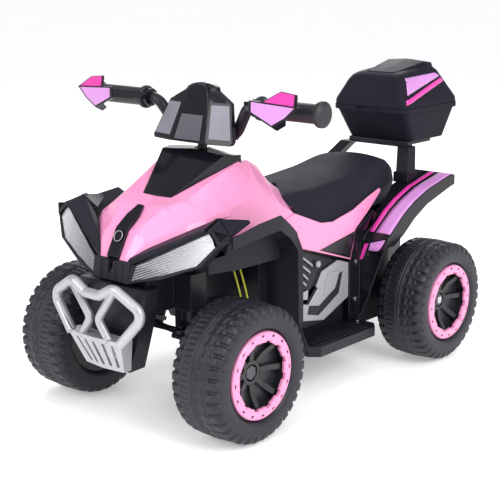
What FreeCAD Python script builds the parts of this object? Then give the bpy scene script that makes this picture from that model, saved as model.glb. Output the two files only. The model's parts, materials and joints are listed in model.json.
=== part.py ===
import FreeCAD, Part
import math
import os

V = FreeCAD.Vector

# Driving dimensions, millimetres and degrees.
# x points to the rider's left, y to the rear from a datum FRONT_REACH behind the front axle, z up from the floor.
WHEEL_D = 190.0
WHEELBASE = 461.0
FRONT_REACH = 230.5
TRACK_OUTSIDE = 386.0
TYRE_WIDTH = 83.0
TYRE_SEAT_R = 61.0
LUG_COUNT = 36
LUG_DEPTH = 4.5
LUG_GAP = 5.2
RING_R = 59.5
RING_HOLE_R = 45.0
RING_SLOTS = 16
AXLE_R = 6.0
HUB_R = 17.0

WALL = 3.0
RUN_FIT = 0.06
SEAT_FIT = 0.2
PANEL_FIT = 0.4

STEER_RAKE = 21.5
STEER_ARM = 22.0
COLUMN_R = 7.0
KINGPIN_X = 64.0
KINGPIN_R = 7.0
LINK_PIN_R = 3.0
LINK_Z = 136.0
LINK_THICK = 6.0

TUB_HALF = 84.0
TUB_FLOOR = 60.0
TUB_TOP = 236.0
TUB_FRONT = -112.0
TUB_BEHIND = 37.5
TUB_TAIL_IN = 14.0
BEAM_HALF = 46.0
BEAM_LOW = 163.0
BEAM_HIGH = 215.0

SIDE_GAP = 16.0
SIDE_X = TUB_HALF + SIDE_GAP
FENDER_RIM_X = 158.0
FENDER_STEP = 12.0
FENDER_ROOT_X = SIDE_X + FENDER_STEP
MUDGUARD_X = 140.0
REAR_RIM_X = 140.0

FOOT_TOP = 76.0
FOOT_THICK = 16.0
FOOT_WIDTH = 56.0
FOOT_OUT = TUB_HALF + FOOT_WIDTH

GRIP_Y = -138.0
GRIP_Z = 430.0
GRIP_R = 13.0
BAR_R = 8.0
BAR_FIT = 0.3
GRIP_IN = 106.0
GRIP_OUT = 219.0

BOX_FLOOR_Z = 331.0
BOX_RIM_Z = 388.0
BOX_RIM_HALF = 74.0
BOX_RIM_FRONT = 262.0
BOX_RIM_REAR = 432.0
BOX_FLOOR_HALF = 64.0
BOX_FLOOR_FRONT = 300.0
BOX_FLOOR_REAR = 402.0
BOX_WALL = 2.5
HINGE_Y = 437.0
HINGE_BARREL_R = 4.0
HINGE_PIN_R = 1.8

BUMPER_FRONT = -358.0
BUMPER_TUBE_R = 7.0
NOSE_FRONT = -319.0

AXLE_Z = WHEEL_D / 2
FRONT_Y = -FRONT_REACH
REAR_Y = FRONT_Y + WHEELBASE
TUB_REAR = REAR_Y + TUB_BEHIND
WHEEL_IN_X = TRACK_OUTSIDE / 2 - TYRE_WIDTH
ORIGIN_Y = (BUMPER_FRONT + HINGE_Y + HINGE_BARREL_R) / 2
FLAT = math.radians(STEER_RAKE)
STEER_AXIS = V(0, math.sin(FLAT), math.cos(FLAT))
STEER_AHEAD = V(0, -math.cos(FLAT), math.sin(FLAT))
LINK_Y = FRONT_Y - STEER_ARM
COLUMN_FOOT = V(0, LINK_Y, LINK_Z) - STEER_AHEAD * STEER_ARM
COLUMN_TOP_Z = 392.0
COLUMN_TOP = COLUMN_FOOT + STEER_AXIS * ((COLUMN_TOP_Z - COLUMN_FOOT.z) / STEER_AXIS.z)

parts = {}


def wire(points):
    return Part.makePolygon(list(points) + [points[0]])


def prism(points, along):
    return Part.Face(wire(points)).extrude(along)


def slab_x(yz, x0, x1):
    return prism([V(x0, y, z) for y, z in yz], V(x1 - x0, 0, 0))


def slab_y(xz, y0, y1):
    return prism([V(x, y0, z) for x, z in xz], V(0, y1 - y0, 0))


def slab_z(xy, z0, z1):
    return prism([V(x, y, z0) for x, y in xy], V(0, 0, z1 - z0))


def block(x0, x1, y0, y1, z0, z1):
    return Part.makeBox(x1 - x0, y1 - y0, z1 - z0, V(x0, y0, z0))


def rod(start, end, radius):
    along = end - start
    return Part.makeCylinder(radius, along.Length, start, along)


def tube_x(y, z, x0, x1, radius):
    return rod(V(x0, y, z), V(x1, y, z), radius)


def loft(sections, ruled=True):
    return Part.makeLoft([wire(s) for s in sections], True, ruled)


def loft_y(stations):
    return loft([[V(x, y, z) for x, z in outline] for y, outline in stations])


def loft_z(stations):
    return loft([[V(x, y, z) for x, y in outline] for z, outline in stations])


def mirror(shape):
    return shape.mirror(V(0, 0, 0), V(1, 0, 0))


def fuse(shapes):
    return shapes[0].multiFuse(shapes[1:]).removeSplitter()


def both(shape):
    return [shape, mirror(shape)]


def cut(shape, tools):
    return shape.cut(Part.makeCompound(tools)) if tools else shape


def half_outline(points):
    return points + [(-x, w) for x, w in reversed(points) if x != 0]


def bent_path(points, bend):
    edges = []
    start = points[0]
    for before, corner, after in zip(points, points[1:], points[2:]):
        inward = (before - corner).normalize()
        onward = (after - corner).normalize()
        half = inward.getAngle(onward) / 2
        back = bend / math.tan(half)
        first = corner + inward * back
        last = corner + onward * back
        centre_dir = (inward + onward).normalize()
        middle = corner + centre_dir * (bend / math.sin(half) - bend)
        edges.append(Part.makeLine(start, first))
        edges.append(Part.Arc(first, middle, last).toShape())
        start = last
    edges.append(Part.makeLine(start, points[-1]))
    return Part.Wire(edges)


def pipe(points, radius, bend):
    path = bent_path(points, bend)
    ring = Part.Wire(Part.makeCircle(radius, points[0], points[1] - points[0]))
    return path.makePipe(Part.Face(ring))


def revolve_x(profile):
    outline = Part.Face(wire([V(x, 0, r) for x, r in profile]))
    return outline.revolve(V(0, 0, 0), V(1, 0, 0), 360)


def around_x(shape, count, start=0.0):
    copies = []
    for k in range(count):
        turned = shape.copy()
        turned.rotate(V(0, 0, 0), V(1, 0, 0), start + 360.0 * k / count)
        copies.append(turned)
    return copies


def hexagon_x(x0, x1, across_half, y, z):
    corner = across_half / math.cos(math.radians(30))
    outline = []
    for k in range(6):
        turn = math.radians(60 * k + 30)
        outline.append((y + corner * math.cos(turn), z + corner * math.sin(turn)))
    return slab_x(outline, x0, x1)


# Wheels: moulded tyre with cross lugs, black rim and pink ring; local x grows outwards.
HUB_IN = -2.0
HUB_END = 62.0
NUT_SEAT = 54.0
NUT_HALF = 9.0
NUT_POCKET_R = 11.5
RIM_IN = 6.0
RIM_END = 77.0
RIM_LIP_R = 55.0
WEB_X = 48.0
TREAD_R = WHEEL_D / 2
SIDEWALL_R = 80.0
RING_FACE = 82.2

tyre_profile = [
    (RIM_IN, TYRE_SEAT_R + SEAT_FIT), (1.5, 67.0), (0.0, SIDEWALL_R), (3.0, 89.0), (9.0, 94.0),
    (14.0, TREAD_R), (TYRE_WIDTH - 14.0, TREAD_R), (TYRE_WIDTH - 9.0, 94.0), (TYRE_WIDTH - 3.0, 89.0),
    (TYRE_WIDTH, SIDEWALL_R), (TYRE_WIDTH - 0.8, 66.0), (RIM_END, TYRE_SEAT_R + SEAT_FIT),
]
lug_floor = TREAD_R - LUG_DEPTH
LUG_LENGTH = 19.0
lug_gaps = []
for gap_x in (-1.0, TYRE_WIDTH + 1 - LUG_LENGTH):
    lug_gap = block(gap_x, gap_x + LUG_LENGTH, -LUG_GAP / 2, LUG_GAP / 2, lug_floor, TREAD_R + 5)
    lug_gaps += around_x(lug_gap, LUG_COUNT)
SEAM_X = 41.5
SEAM_WIDTH = 2.0
seam = revolve_x([
    (SEAM_X - SEAM_WIDTH / 2, TREAD_R - 3), (SEAM_X - SEAM_WIDTH / 2, TREAD_R + 3),
    (SEAM_X + SEAM_WIDTH / 2, TREAD_R + 3), (SEAM_X + SEAM_WIDTH / 2, TREAD_R - 3),
])
tyre = cut(revolve_x(tyre_profile), lug_gaps + [seam])

DISH_R = 52.0
rim_profile = [
    (RIM_IN, TYRE_SEAT_R), (RIM_END, TYRE_SEAT_R), (RIM_END, RIM_LIP_R), (WEB_X, DISH_R), (WEB_X, HUB_R),
    (HUB_END, HUB_R), (HUB_END, NUT_POCKET_R), (NUT_SEAT, NUT_POCKET_R), (NUT_SEAT, AXLE_R + RUN_FIT),
    (HUB_IN, AXLE_R + RUN_FIT), (HUB_IN, HUB_R), (RIM_IN, HUB_R + 4),
]
rim = revolve_x(rim_profile)

ring_profile = [
    (RIM_END + SEAT_FIT, RING_HOLE_R), (RING_FACE - 1.2, RING_HOLE_R), (RING_FACE, RING_HOLE_R + 2),
    (RING_FACE, RING_R - 2), (RING_FACE - 1.5, RING_R), (RIM_END + SEAT_FIT, RING_R),
]
RING_SLOT_R = 54.5
ring_slot = block(RIM_END - 1, RING_FACE + 1, -2.6, 2.6, RING_SLOT_R - 1.4, RING_SLOT_R + 1.4)
RING_NOTCHES = 12
ring_notch = block(RIM_END - 1, RING_FACE + 1, -4.5, 4.5, RING_HOLE_R - 4, RING_HOLE_R + 2.6)
ring = cut(revolve_x(ring_profile), around_x(ring_slot, RING_SLOTS) + around_x(ring_notch, RING_NOTCHES, 15.0))

for end, axle_y in (("front", FRONT_Y), ("rear", REAR_Y)):
    for piece_name, piece in (("tyre", tyre), ("rim", rim), ("ring", ring)):
        left = piece.copy()
        left.translate(V(WHEEL_IN_X, axle_y, AXLE_Z))
        parts[end + "_" + piece_name + "_left"] = left
        parts[end + "_" + piece_name + "_right"] = mirror(left)

# Hood: ridged beak running back into the tank; half sections centre, ridge, shoulder and foot.
hood_stations = [
    (-312.0, [(0, 237), (20, 238), (26, 237), (28, 231)]),
    (-293.0, [(0, 271), (26, 276), (42, 262), (50, 246)]),
    (-257.0, [(0, 299), (44, 306), (80, 284), (94, 260)]),
    (-229.0, [(0, 311), (58, 313), (SIDE_X - 10, 290), (SIDE_X, 260)]),
    (-190.0, [(0, 330), (62, 331), (SIDE_X - 5, 298), (SIDE_X, 256)]),
    (-140.0, [(0, 352), (70, 354), (SIDE_X - 3, 305), (SIDE_X, 246)]),
    (-118.0, [(0, 355), (68, 353), (SIDE_X - 3, 303), (SIDE_X, 240)]),
    (-83.0, [(0, 345), (54, 340), (SIDE_X - 3, 288), (SIDE_X, 236)]),
    (-51.0, [(0, 328), (46, 314), (SIDE_X - 3, 271), (SIDE_X, 236)]),
    (-20.0, [(0, 309), (40, 296), (SIDE_X - 10, 260), (SIDE_X, 238)]),
    (32.0, [(0, 284), (36, 274), (SIDE_X - 12, 250), (SIDE_X, 238)]),
]


def moved_in(points, drop):
    centre, ridge, shoulder, foot = points
    return [
        (0, centre[1] - drop), (ridge[0] - drop * 0.3, ridge[1] - drop),
        (shoulder[0] - drop * 0.8, shoulder[1] - drop * 0.5), (foot[0] - drop, foot[1] - 0.01),
    ]


CORE_DEEP = 60.0
hood_skin = []
hood_core = []
for y, points in hood_stations:
    inner = moved_in(points, WALL)
    hood_skin.append((y, points[::-1] + [(-x, z) for x, z in points[1:]]
                      + [(-x, z) for x, z in reversed(inner)] + inner[1:]))
    outer = moved_in(points, -PANEL_FIT)
    foot_x, foot_z = outer[3]
    hood_core.append((y, half_outline(outer + [(foot_x, foot_z - CORE_DEEP)])))
hood = loft_y(hood_skin)
hood_filled = loft_y(hood_core)

COWL_FRONT = -229.0
COWL_REAR = -127.5
cowl_plan = [(27.0, COWL_FRONT), (70.0, -134.0), (62.0, COWL_REAR)]


def cowl_outline(grow):
    edge = [(x + grow, y - grow if y == COWL_FRONT else y + (grow if y == COWL_REAR else 0)) for x, y in cowl_plan]
    return edge + [(-x, y) for x, y in reversed(edge)]


tongue = [(0, 24.0), (70.0, -45.0), (SIDE_X + 10, -54.0)]
behind_tongue = [(x, y) for x, y in tongue] + [(SIDE_X + 10, 60.0), (-SIDE_X - 10, 60.0)]
behind_tongue += [(-x, y) for x, y in reversed(tongue[1:])]
hood = cut(hood, [slab_z(cowl_outline(PANEL_FIT), 280, 420), slab_z(behind_tongue, 200, 420)])

# Side panels: upright wall whose top follows the seat and ends in a horn, drawn in towards the rear.
HORN_TIP = (180.0, 274.0)
panel_side = [
    (-140, 256), (-86, 262), (-51, 271), (11, 247), (40, 244), (87, 253), (140, 266), HORN_TIP,
    (183, 268), (141, 243), (99, 222), (87, 177), (-41, 218), (-86, 232), (-140, 248),
]
HORN_TUCK = 14.0
HORN_X = SIDE_X - HORN_TUCK
panel_plan = [(SIDE_X, -140), (SIDE_X, 92), (HORN_X, 184), (HORN_X - WALL, 184), (SIDE_X - WALL, 92),
              (SIDE_X - WALL, -140)]
side_panel = slab_x(panel_side, 60, SIDE_X + 5).common(slab_z(panel_plan, 150, 320))
parts["body_shell"] = fuse([hood] + both(side_panel))

# Hood cowl: ridged gloss cap with the column hole.
ROOF_DROP = 5.0


def cowl_roof(down):
    rows = []
    for y, z in ((-240.0, 305.5), (-157.0, 367.0), (-120.0, 368.0)):
        rows.append((y, half_outline([(0, z - down), (70, z - ROOF_DROP - down), (70, 250)])))
    return loft_y(rows)


cowl = slab_z(cowl_outline(0), 292, 400).common(cowl_roof(0))
cowl_inside = slab_z(cowl_outline(-WALL), 250, 400).common(cowl_roof(WALL))
column_hole = rod(COLUMN_FOOT, COLUMN_TOP, COLUMN_R + 3.0)
parts["hood_cowl"] = cut(cowl, [cowl_inside, column_hole])

# Nose strip and emblem lie along the middle of the beak.
strip_line = [(y, points[0][1]) for y, points in hood_stations[:4]]
strip_low = [(y, z + SEAT_FIT) for y, z in strip_line[:3]]
strip_high = [(-314.0, 242.0), (-296.0, 276.5), (-259.5, 303.5)]
STRIP_HALF = 11.0
strip = slab_x(strip_low + list(reversed(strip_high)), -STRIP_HALF, STRIP_HALF)
strip_taper = slab_z([(STRIP_HALF + 1, -250), (STRIP_HALF + 1, -278), (1.5, -250)], 200, 340)
strip = cut(strip, both(strip_taper) + [hood_filled])
EMBLEM_R = 8.5
EMBLEM_THICK = 2.5
slope = math.atan2(strip_high[1][1] - strip_high[0][1], strip_high[1][0] - strip_high[0][0])
emblem_out = V(0, -math.sin(slope), math.cos(slope))
emblem_up = V(0, math.cos(slope), math.sin(slope))
EMBLEM_BACK = 11.5
emblem_base = V(0, strip_high[1][0], strip_high[1][1]) - emblem_up * EMBLEM_BACK
strip = cut(strip, [rod(emblem_base - emblem_out * 1.2, emblem_base + emblem_out * 9, EMBLEM_R + SEAT_FIT)])
parts["nose_strip"] = strip
emblem_foot = emblem_base - emblem_out * 1.0
emblem = rod(emblem_foot, emblem_foot + emblem_out * EMBLEM_THICK, EMBLEM_R)
emblem_dish = rod(emblem_foot + emblem_out * (EMBLEM_THICK - 0.8), emblem_foot + emblem_out * 9, EMBLEM_R - 1.8)
parts["nose_emblem"] = cut(emblem, [emblem_dish])

# Headlights: slanted lens plane y = f(x, z), lens, reflector housing and black mask.
LENS_X = 36.0
LENS_Z = 213.0
LENS_Y = -316.0
LENS_SWEEP = 0.209
LENS_LEAN = 0.344
lens_outline = [(36, 213), (39, 233), (136, 285), (150, 271), (127, 243), (84, 227)]
LENS_THICK = 4.0
HOUSING_DEPTH = 34.0


def lens_y(x, z):
    return LENS_Y + LENS_SWEEP * (x - LENS_X) + LENS_LEAN * (z - LENS_Z)


def lamp_slab(outline, front, back):
    points = [V(x, lens_y(x, z) + front, z) for x, z in outline]
    return prism(points, V(0, back - front, 0))


def grown(outline, margin):
    cx = sum(x for x, z in outline) / len(outline)
    cz = sum(z for x, z in outline) / len(outline)
    result = []
    for x, z in outline:
        far = math.hypot(x - cx, z - cz)
        result.append((x + (x - cx) * margin / far, z + (z - cz) * margin / far))
    return result


lens = lamp_slab(lens_outline, 0, LENS_THICK)
housing_rows = []
for depth, shrink in ((LENS_THICK + SEAT_FIT, 0.0), (HOUSING_DEPTH, -22.0)):
    housing_rows.append([V(x, lens_y(x, z) + depth, z) for x, z in grown(lens_outline, shrink)])
bowl_rows = []
for depth, shrink in ((LENS_THICK - 1.0, -WALL), (HOUSING_DEPTH - WALL, -24.0)):
    bowl_rows.append([V(x, lens_y(x, z) + depth, z) for x, z in grown(lens_outline, shrink)])
housing = cut(loft(housing_rows), [loft(bowl_rows)])
LED_R = 6.0
led_spot = V(104, lens_y(104, 254), 254)
housing = fuse([housing, rod(led_spot + V(0, HOUSING_DEPTH - 1, 0), led_spot + V(0, 12, 0), LED_R)])

MASK_MARGIN = 7.0
MASK_DEPTH = 14.0
mask_ring = lamp_slab(grown(lens_outline, MASK_MARGIN), -2.0, MASK_DEPTH)
brow = loft([
    [V(28, -313, 240), V(28, -303, 246), V(28, -292, 246), V(28, -298, 232), V(28, -311, 232)],
    [V(130, -275, 290), V(130, -247, 300), V(130, -240, 298), V(130, -246, 284), V(130, -271, 281)],
])
wing = loft_y([
    (-249.0, [(98, 284), (129, 299.5), (150, 276), (146, 272), (122, 286)]),
    (-200.0, [(138, 288), (141, 292), (145, 289), (143, 287), (140, 287)]),
])
outer_cheek = loft_y([
    (-274.0, [(130, 280), (138, 292), (156, 274), (150, 264)]),
    (-245.0, [(126, 280), (130, 299), (153, 274), (146, 266)]),
])
CHIN_HALF = 34.0
chin = slab_x([(-319, 209), (-316, 238), (-304, 238), (-304, 206)], -CHIN_HALF, CHIN_HALF)
chin_ribs = []
for x in (-20, -7, 7, 20):
    chin_ribs.append(slab_x([(-321, 212), (-318.5, 236), (-315, 236), (-316, 212)], x - 2, x + 2))
half_mask = fuse([mask_ring, brow, wing, outer_cheek])
lens_room = lamp_slab(grown(lens_outline, PANEL_FIT), -30, LENS_THICK + SEAT_FIT)
housing_room = loft([
    [V(x, lens_y(x, z) + LENS_THICK, z) for x, z in grown(lens_outline, PANEL_FIT)],
    [V(x, lens_y(x, z) + HOUSING_DEPTH + PANEL_FIT, z) for x, z in grown(lens_outline, -21.5)],
])
half_mask = cut(half_mask, [lens_room, housing_room])
mask = fuse([chin] + chin_ribs + both(half_mask))
mask = cut(mask, [hood_filled] + both(lens_room) + both(housing_room))
strip_room = slab_x([(-330, 236.6), (-330, 260), (-290, 260), (-290, 236.6)],
                    -STRIP_HALF - PANEL_FIT, STRIP_HALF + PANEL_FIT)
parts["front_mask"] = cut(mask, [strip_room])
lens = cut(lens, [hood_filled])
housing = cut(housing, [hood_filled])
parts["lamp_lens_left"] = lens
parts["lamp_lens_right"] = mirror(lens)
parts["lamp_housing_left"] = housing
parts["lamp_housing_right"] = mirror(housing)

# Front fenders: dished wing rising to an outer rim, inner panel, skirt and mudguard wall.
fender_stations = [
    (-250.0, 222, 256, FENDER_RIM_X, 279, 262),
    (-197.0, 218, 260, FENDER_RIM_X, 289, 268),
    (-154.0, 217, 264, FENDER_RIM_X, 293.5, 272),
    (-129.0, 217, 258, 155.0, 276, 256),
    (-104.0, 217, 250, 147.0, 259, 236),
]
fender_rows = []
flange_rows = []
for y, panel_low, root_z, rim_x, rim_z, skirt_z in fender_stations:
    fender_rows.append((y, [
        (FENDER_ROOT_X, panel_low), (FENDER_ROOT_X, root_z), (rim_x, rim_z), (rim_x, skirt_z),
        (rim_x - WALL, skirt_z), (rim_x - WALL, rim_z - 5), (FENDER_ROOT_X + WALL, root_z - 4.5),
        (FENDER_ROOT_X + WALL, panel_low),
    ]))
    flange_rows.append((y, [
        (SIDE_X + PANEL_FIT, root_z - 4), (FENDER_ROOT_X + 1, root_z - 4), (FENDER_ROOT_X + 1, root_z - 0.5),
        (SIDE_X + PANEL_FIT, root_z - 0.5),
    ]))
wall_line = [(-109, 262), (-94, 229), (-91, 124), (-66, 76)]
wall_back = [(y + WALL, z - 1) for y, z in reversed(wall_line)]
mudguard = slab_x(wall_line + wall_back, TUB_HALF + SEAT_FIT, MUDGUARD_X)
mudguard_skirt = slab_x([(-109, 262), (-94, 229), (-91, 124), (-80, 124), (-82, 229), (-97, 258)],
                        MUDGUARD_X - WALL, MUDGUARD_X)
fender = fuse([loft_y(fender_rows), loft_y(flange_rows), mudguard, mudguard_skirt])
side_wall_room = slab_x([(y, z + (PANEL_FIT if z > 240 else -PANEL_FIT)) for y, z in panel_side],
                        SIDE_X - 2 * WALL - PANEL_FIT, SIDE_X + PANEL_FIT)
shoulder_room = block(SIDE_X - 2 * WALL - PANEL_FIT, SIDE_X + PANEL_FIT, -140, -60, 250, 300)
nose_core = hood_filled.common(block(-FENDER_RIM_X, FENDER_RIM_X, -400, -140, 0, 400))
fender = cut(fender, [nose_core, side_wall_room, shoulder_room])
fender = cut(fender, [parts["front_mask"], housing_room, lens_room])
parts["front_fender_left"] = fender
parts["front_fender_right"] = mirror(fender)

# Bumper: two tube loops over a finned plate, one moulding.
tube_y = BUMPER_FRONT + BUMPER_TUBE_R
loop = [V(0, tube_y, 197), V(14, tube_y, 197), V(39, tube_y + 1, 211), V(88, tube_y + 9, 182), V(47, tube_y + 3, 136)]
loops = [pipe(loop, BUMPER_TUBE_R, 14.0)]
strut = [V(40, tube_y + 1, 207), V(7, tube_y + 2, 163), V(27, tube_y + 3, 136)]
loops.append(pipe(strut, BUMPER_TUBE_R - 1.2, 10.0))
PLATE_TOP = 140.0
PLATE_LOW = 91.0
plate = loft_z([
    (PLATE_LOW, half_outline([(0, -337), (37, -333), (37, NOSE_FRONT - SEAT_FIT), (0, NOSE_FRONT - SEAT_FIT)])),
    (PLATE_TOP, half_outline([(0, -357), (52, -352), (52, -330), (0, -330)])),
])
slots = []
for k in range(-2, 3):
    x = 17.0 * k
    slots.append(loft_z([
        (PLATE_LOW + 7, [(x * 0.75 + 2, -360), (x * 0.75 + 7, -360), (x * 0.75 + 7, -329), (x * 0.75 + 2, -329)]),
        (PLATE_TOP - 8, [(x - 3, -365), (x + 2, -365), (x + 2, -347), (x - 3, -347)]),
    ]))
plate = cut(plate, slots)
mounts = [block(14, 30, -340, NOSE_FRONT - SEAT_FIT, 112, 132)]
bumper = fuse([plate] + both(loops[0]) + both(loops[1]) + both(mounts[0]))
parts["bumper"] = bumper

# Chassis tub: floor pan, steering beam, nose column and axle bosses.
tub_plan = [(TUB_HALF, TUB_FRONT), (TUB_HALF, TUB_REAR - 72), (TUB_HALF - TUB_TAIL_IN, TUB_REAR)]
tub = slab_z(tub_plan + [(-x, y) for x, y in reversed(tub_plan)], TUB_FLOOR, TUB_TOP)
hollow_plan = [(TUB_HALF - WALL, TUB_FRONT + WALL), (TUB_HALF - WALL, TUB_REAR - 73),
               (TUB_HALF - TUB_TAIL_IN - WALL, TUB_REAR - WALL)]
tub_room = slab_z(hollow_plan + [(-x, y) for x, y in reversed(hollow_plan)], TUB_FLOOR + WALL, TUB_TOP + 1)
tub = cut(tub, [tub_room])
beam = block(-BEAM_HALF, BEAM_HALF, -297, TUB_FRONT + 1, BEAM_LOW, BEAM_HIGH)
beam_room = block(-BEAM_HALF + WALL, BEAM_HALF - WALL, -282, TUB_FRONT - 6, BEAM_LOW + WALL, BEAM_HIGH + 1)
beam = cut(beam, [beam_room])
column = loft_z([
    (86.0, half_outline([(33, NOSE_FRONT), (31, -288)])),
    (155.0, half_outline([(57, NOSE_FRONT), (52, -288)])),
    (204.0, half_outline([(66, NOSE_FRONT + 3), (62, -288)])),
])
column_room = loft_z([
    (80.0, half_outline([(28, -313), (27, -284)])),
    (155.0, half_outline([(53, -313), (48, -284)])),
    (200.0, half_outline([(61, -311), (57, -284)])),
])
column = cut(column, [column_room])
rib = slab_x([(-316, 145), (-316, 200), (-320, 196), (-321.5, 165), (-320, 150)], 45, 48)
kingpin_block = block(BEAM_HALF - 1, KINGPIN_X + 15, FRONT_Y - 16, FRONT_Y + 15, BEAM_LOW, BEAM_HIGH)
head_tube = rod(V(0, 0, 0), STEER_AXIS * 60, COLUMN_R + 6)
head_tube.translate(COLUMN_FOOT + STEER_AXIS * ((BEAM_LOW + 6 - COLUMN_FOOT.z) / STEER_AXIS.z))
BOSS_R = 15.0
rear_boss = tube_x(REAR_Y, AXLE_Z, TUB_HALF - TUB_TAIL_IN, WHEEL_IN_X + HUB_IN - 0.5, BOSS_R)
shell_pads = [
    block(TUB_HALF - 1, SIDE_X - WALL - SEAT_FIT, -50, -38, 222, TUB_TOP),
    block(TUB_HALF - 1, SIDE_X - WALL - SEAT_FIT, 60, 72, 196, 228),
]
seat_rails = [block(40, 48, 30, TUB_REAR - 28, TUB_TOP - 3, 248)]
cross_rails = [block(-TUB_HALF + 1, TUB_HALF - 1, y, y + 8, TUB_TOP - 10, TUB_TOP) for y in (30, TUB_REAR - 36)]
solids = [tub, beam, column, head_tube] + cross_rails
for shape in [kingpin_block, rear_boss, rib] + shell_pads + seat_rails:
    solids += both(shape)
tub = fuse(solids)
holes = [rod(COLUMN_FOOT, COLUMN_TOP, COLUMN_R + RUN_FIT)]
holes.append(tube_x(REAR_Y, AXLE_Z, -WHEEL_IN_X - 20, WHEEL_IN_X + 20, AXLE_R + RUN_FIT))
king_hole = rod(V(KINGPIN_X, FRONT_Y, 100), V(KINGPIN_X, FRONT_Y, 250), KINGPIN_R + RUN_FIT)
parts["chassis_tub"] = cut(tub, holes + both(king_hole))

# Steering: column with crank, knuckles, tie rod.
CRANK_THICK = 6.0
CRANK_RISE = 7.5
shaft = rod(COLUMN_FOOT + STEER_AXIS * 2, COLUMN_TOP, COLUMN_R)
crank = block(-8, 8, -8, STEER_ARM + 7, 0, CRANK_THICK)
crank = crank.makeFillet(3.0, [e for e in crank.Edges if abs(e.tangentAt(e.FirstParameter).z) > 0.9])
crank.rotate(V(0, 0, 0), V(0, 0, 1), 180)
crank.rotate(V(0, 0, 0), V(1, 0, 0), -STEER_RAKE)
crank.translate(COLUMN_FOOT + STEER_AXIS * CRANK_RISE)
link_centre = V(0, LINK_Y, LINK_Z)
crank_pin = rod(link_centre - STEER_AXIS * 5.5, link_centre + STEER_AXIS * (CRANK_RISE + 2), LINK_PIN_R)
parts["steering_column"] = fuse([shaft, crank, crank_pin])

KNUCKLE_TOP = BEAM_LOW - 0.5
ARM_TOP = LINK_Z - LINK_THICK / 2 - 0.3
LEG_HALF = 12.0
pivot = V(KINGPIN_X, FRONT_Y, 0)
knuckle = fuse([
    rod(pivot + V(0, 0, 145), pivot + V(0, 0, BEAM_HIGH + 3), KINGPIN_R),
    rod(pivot + V(0, 0, 145), pivot + V(0, 0, KNUCKLE_TOP), KINGPIN_R + 6),
    block(KINGPIN_X - LEG_HALF, KINGPIN_X + LEG_HALF, FRONT_Y - LEG_HALF, FRONT_Y + LEG_HALF, 80, 147),
    tube_x(FRONT_Y, AXLE_Z, KINGPIN_X, WHEEL_IN_X + HUB_IN - 0.5, BOSS_R),
    block(KINGPIN_X - 9, KINGPIN_X + 9, LINK_Y - 9, FRONT_Y, ARM_TOP - 6, ARM_TOP),
    rod(V(KINGPIN_X, LINK_Y, ARM_TOP - 1), V(KINGPIN_X, LINK_Y, LINK_Z + LINK_THICK / 2 + 4), LINK_PIN_R),
])
bolt_bore = tube_x(FRONT_Y, AXLE_Z, KINGPIN_X - LEG_HALF + 4, 200, AXLE_R + RUN_FIT)
knuckle = cut(knuckle, [bolt_bore])
parts["knuckle_left"] = knuckle
parts["knuckle_right"] = mirror(knuckle)
nut_x = WHEEL_IN_X + NUT_SEAT + 0.3
NUT_THICK = 7.0
bolt = fuse([
    tube_x(FRONT_Y, AXLE_Z, KINGPIN_X - LEG_HALF + 4.2, nut_x + 1, AXLE_R),
    hexagon_x(nut_x, nut_x + NUT_THICK, NUT_HALF, FRONT_Y, AXLE_Z),
])
parts["axle_bolt_left"] = bolt
parts["axle_bolt_right"] = mirror(bolt)

LINK_EYE = 9.5
LINK_PLAY = 0.7
link = fuse([
    block(-KINGPIN_X, KINGPIN_X, LINK_Y - 4, LINK_Y + 4, LINK_Z - LINK_THICK / 2, LINK_Z + LINK_THICK / 2),
] + [rod(V(x, LINK_Y + 0.5, LINK_Z - LINK_THICK / 2), V(x, LINK_Y + 0.5, LINK_Z + LINK_THICK / 2), LINK_EYE)
     for x in (-KINGPIN_X, 0, KINGPIN_X)])
slot_half = LINK_PIN_R + LINK_PLAY
eye_slots = [block(x - slot_half, x + slot_half, LINK_Y - 4.8, LINK_Y + 6.2, LINK_Z - 9, LINK_Z + 9)
             for x in (-KINGPIN_X, 0, KINGPIN_X)]
parts["tie_rod"] = cut(link, eye_slots)

# Rear axle with its end nuts.
AXLE_END = nut_x + NUT_THICK + 1.0
parts["rear_axle"] = tube_x(REAR_Y, AXLE_Z, -AXLE_END, AXLE_END, AXLE_R)
nut = cut(hexagon_x(nut_x, nut_x + NUT_THICK, NUT_HALF, REAR_Y, AXLE_Z),
          [tube_x(REAR_Y, AXLE_Z, nut_x - 1, AXLE_END + 1, AXLE_R + RUN_FIT)])
parts["rear_axle_nuts"] = Part.makeCompound(both(nut))

# Handlebar: bent tube with the console that clamps the column.
BAR_MID_Z = 388.0
bar_half = [V(GRIP_OUT - 9, GRIP_Y, GRIP_Z), V(86, GRIP_Y, GRIP_Z), V(56, -128, BAR_MID_Z), V(0, -128, BAR_MID_Z)]
bar = pipe(bar_half, BAR_R, 22.0)
CONSOLE_TOP = 402.0
console = slab_x([(-144, 377), (-144, 396), (-136, CONSOLE_TOP), (-98, CONSOLE_TOP), (-98, 384), (-106, 377)], -40, 40)
BUTTON_R = 6.0
BUTTON_Y = -116.0
BUTTON_DEEP = 7.0
button_pocket = rod(V(0, BUTTON_Y, CONSOLE_TOP - BUTTON_DEEP), V(0, BUTTON_Y, CONSOLE_TOP + 9), BUTTON_R + RUN_FIT)
ROCKER_X = 25.0
ROCKER_HALF_X = 6.0
ROCKER_HALF_Y = 9.0
ROCKER_FIT = 0.5
rocker_pocket = block(ROCKER_X - ROCKER_HALF_X - 0.3, ROCKER_X + ROCKER_HALF_X + 0.3, BUTTON_Y - ROCKER_HALF_Y - ROCKER_FIT,
                      BUTTON_Y + ROCKER_HALF_Y + ROCKER_FIT, CONSOLE_TOP - 9, CONSOLE_TOP + 9)
handlebar = fuse([console] + both(bar))
column_bore = rod(COLUMN_FOOT, COLUMN_TOP + STEER_AXIS * 0.3, COLUMN_R + RUN_FIT)
parts["handlebar"] = cut(handlebar, [button_pocket, column_bore] + both(rocker_pocket))
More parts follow.
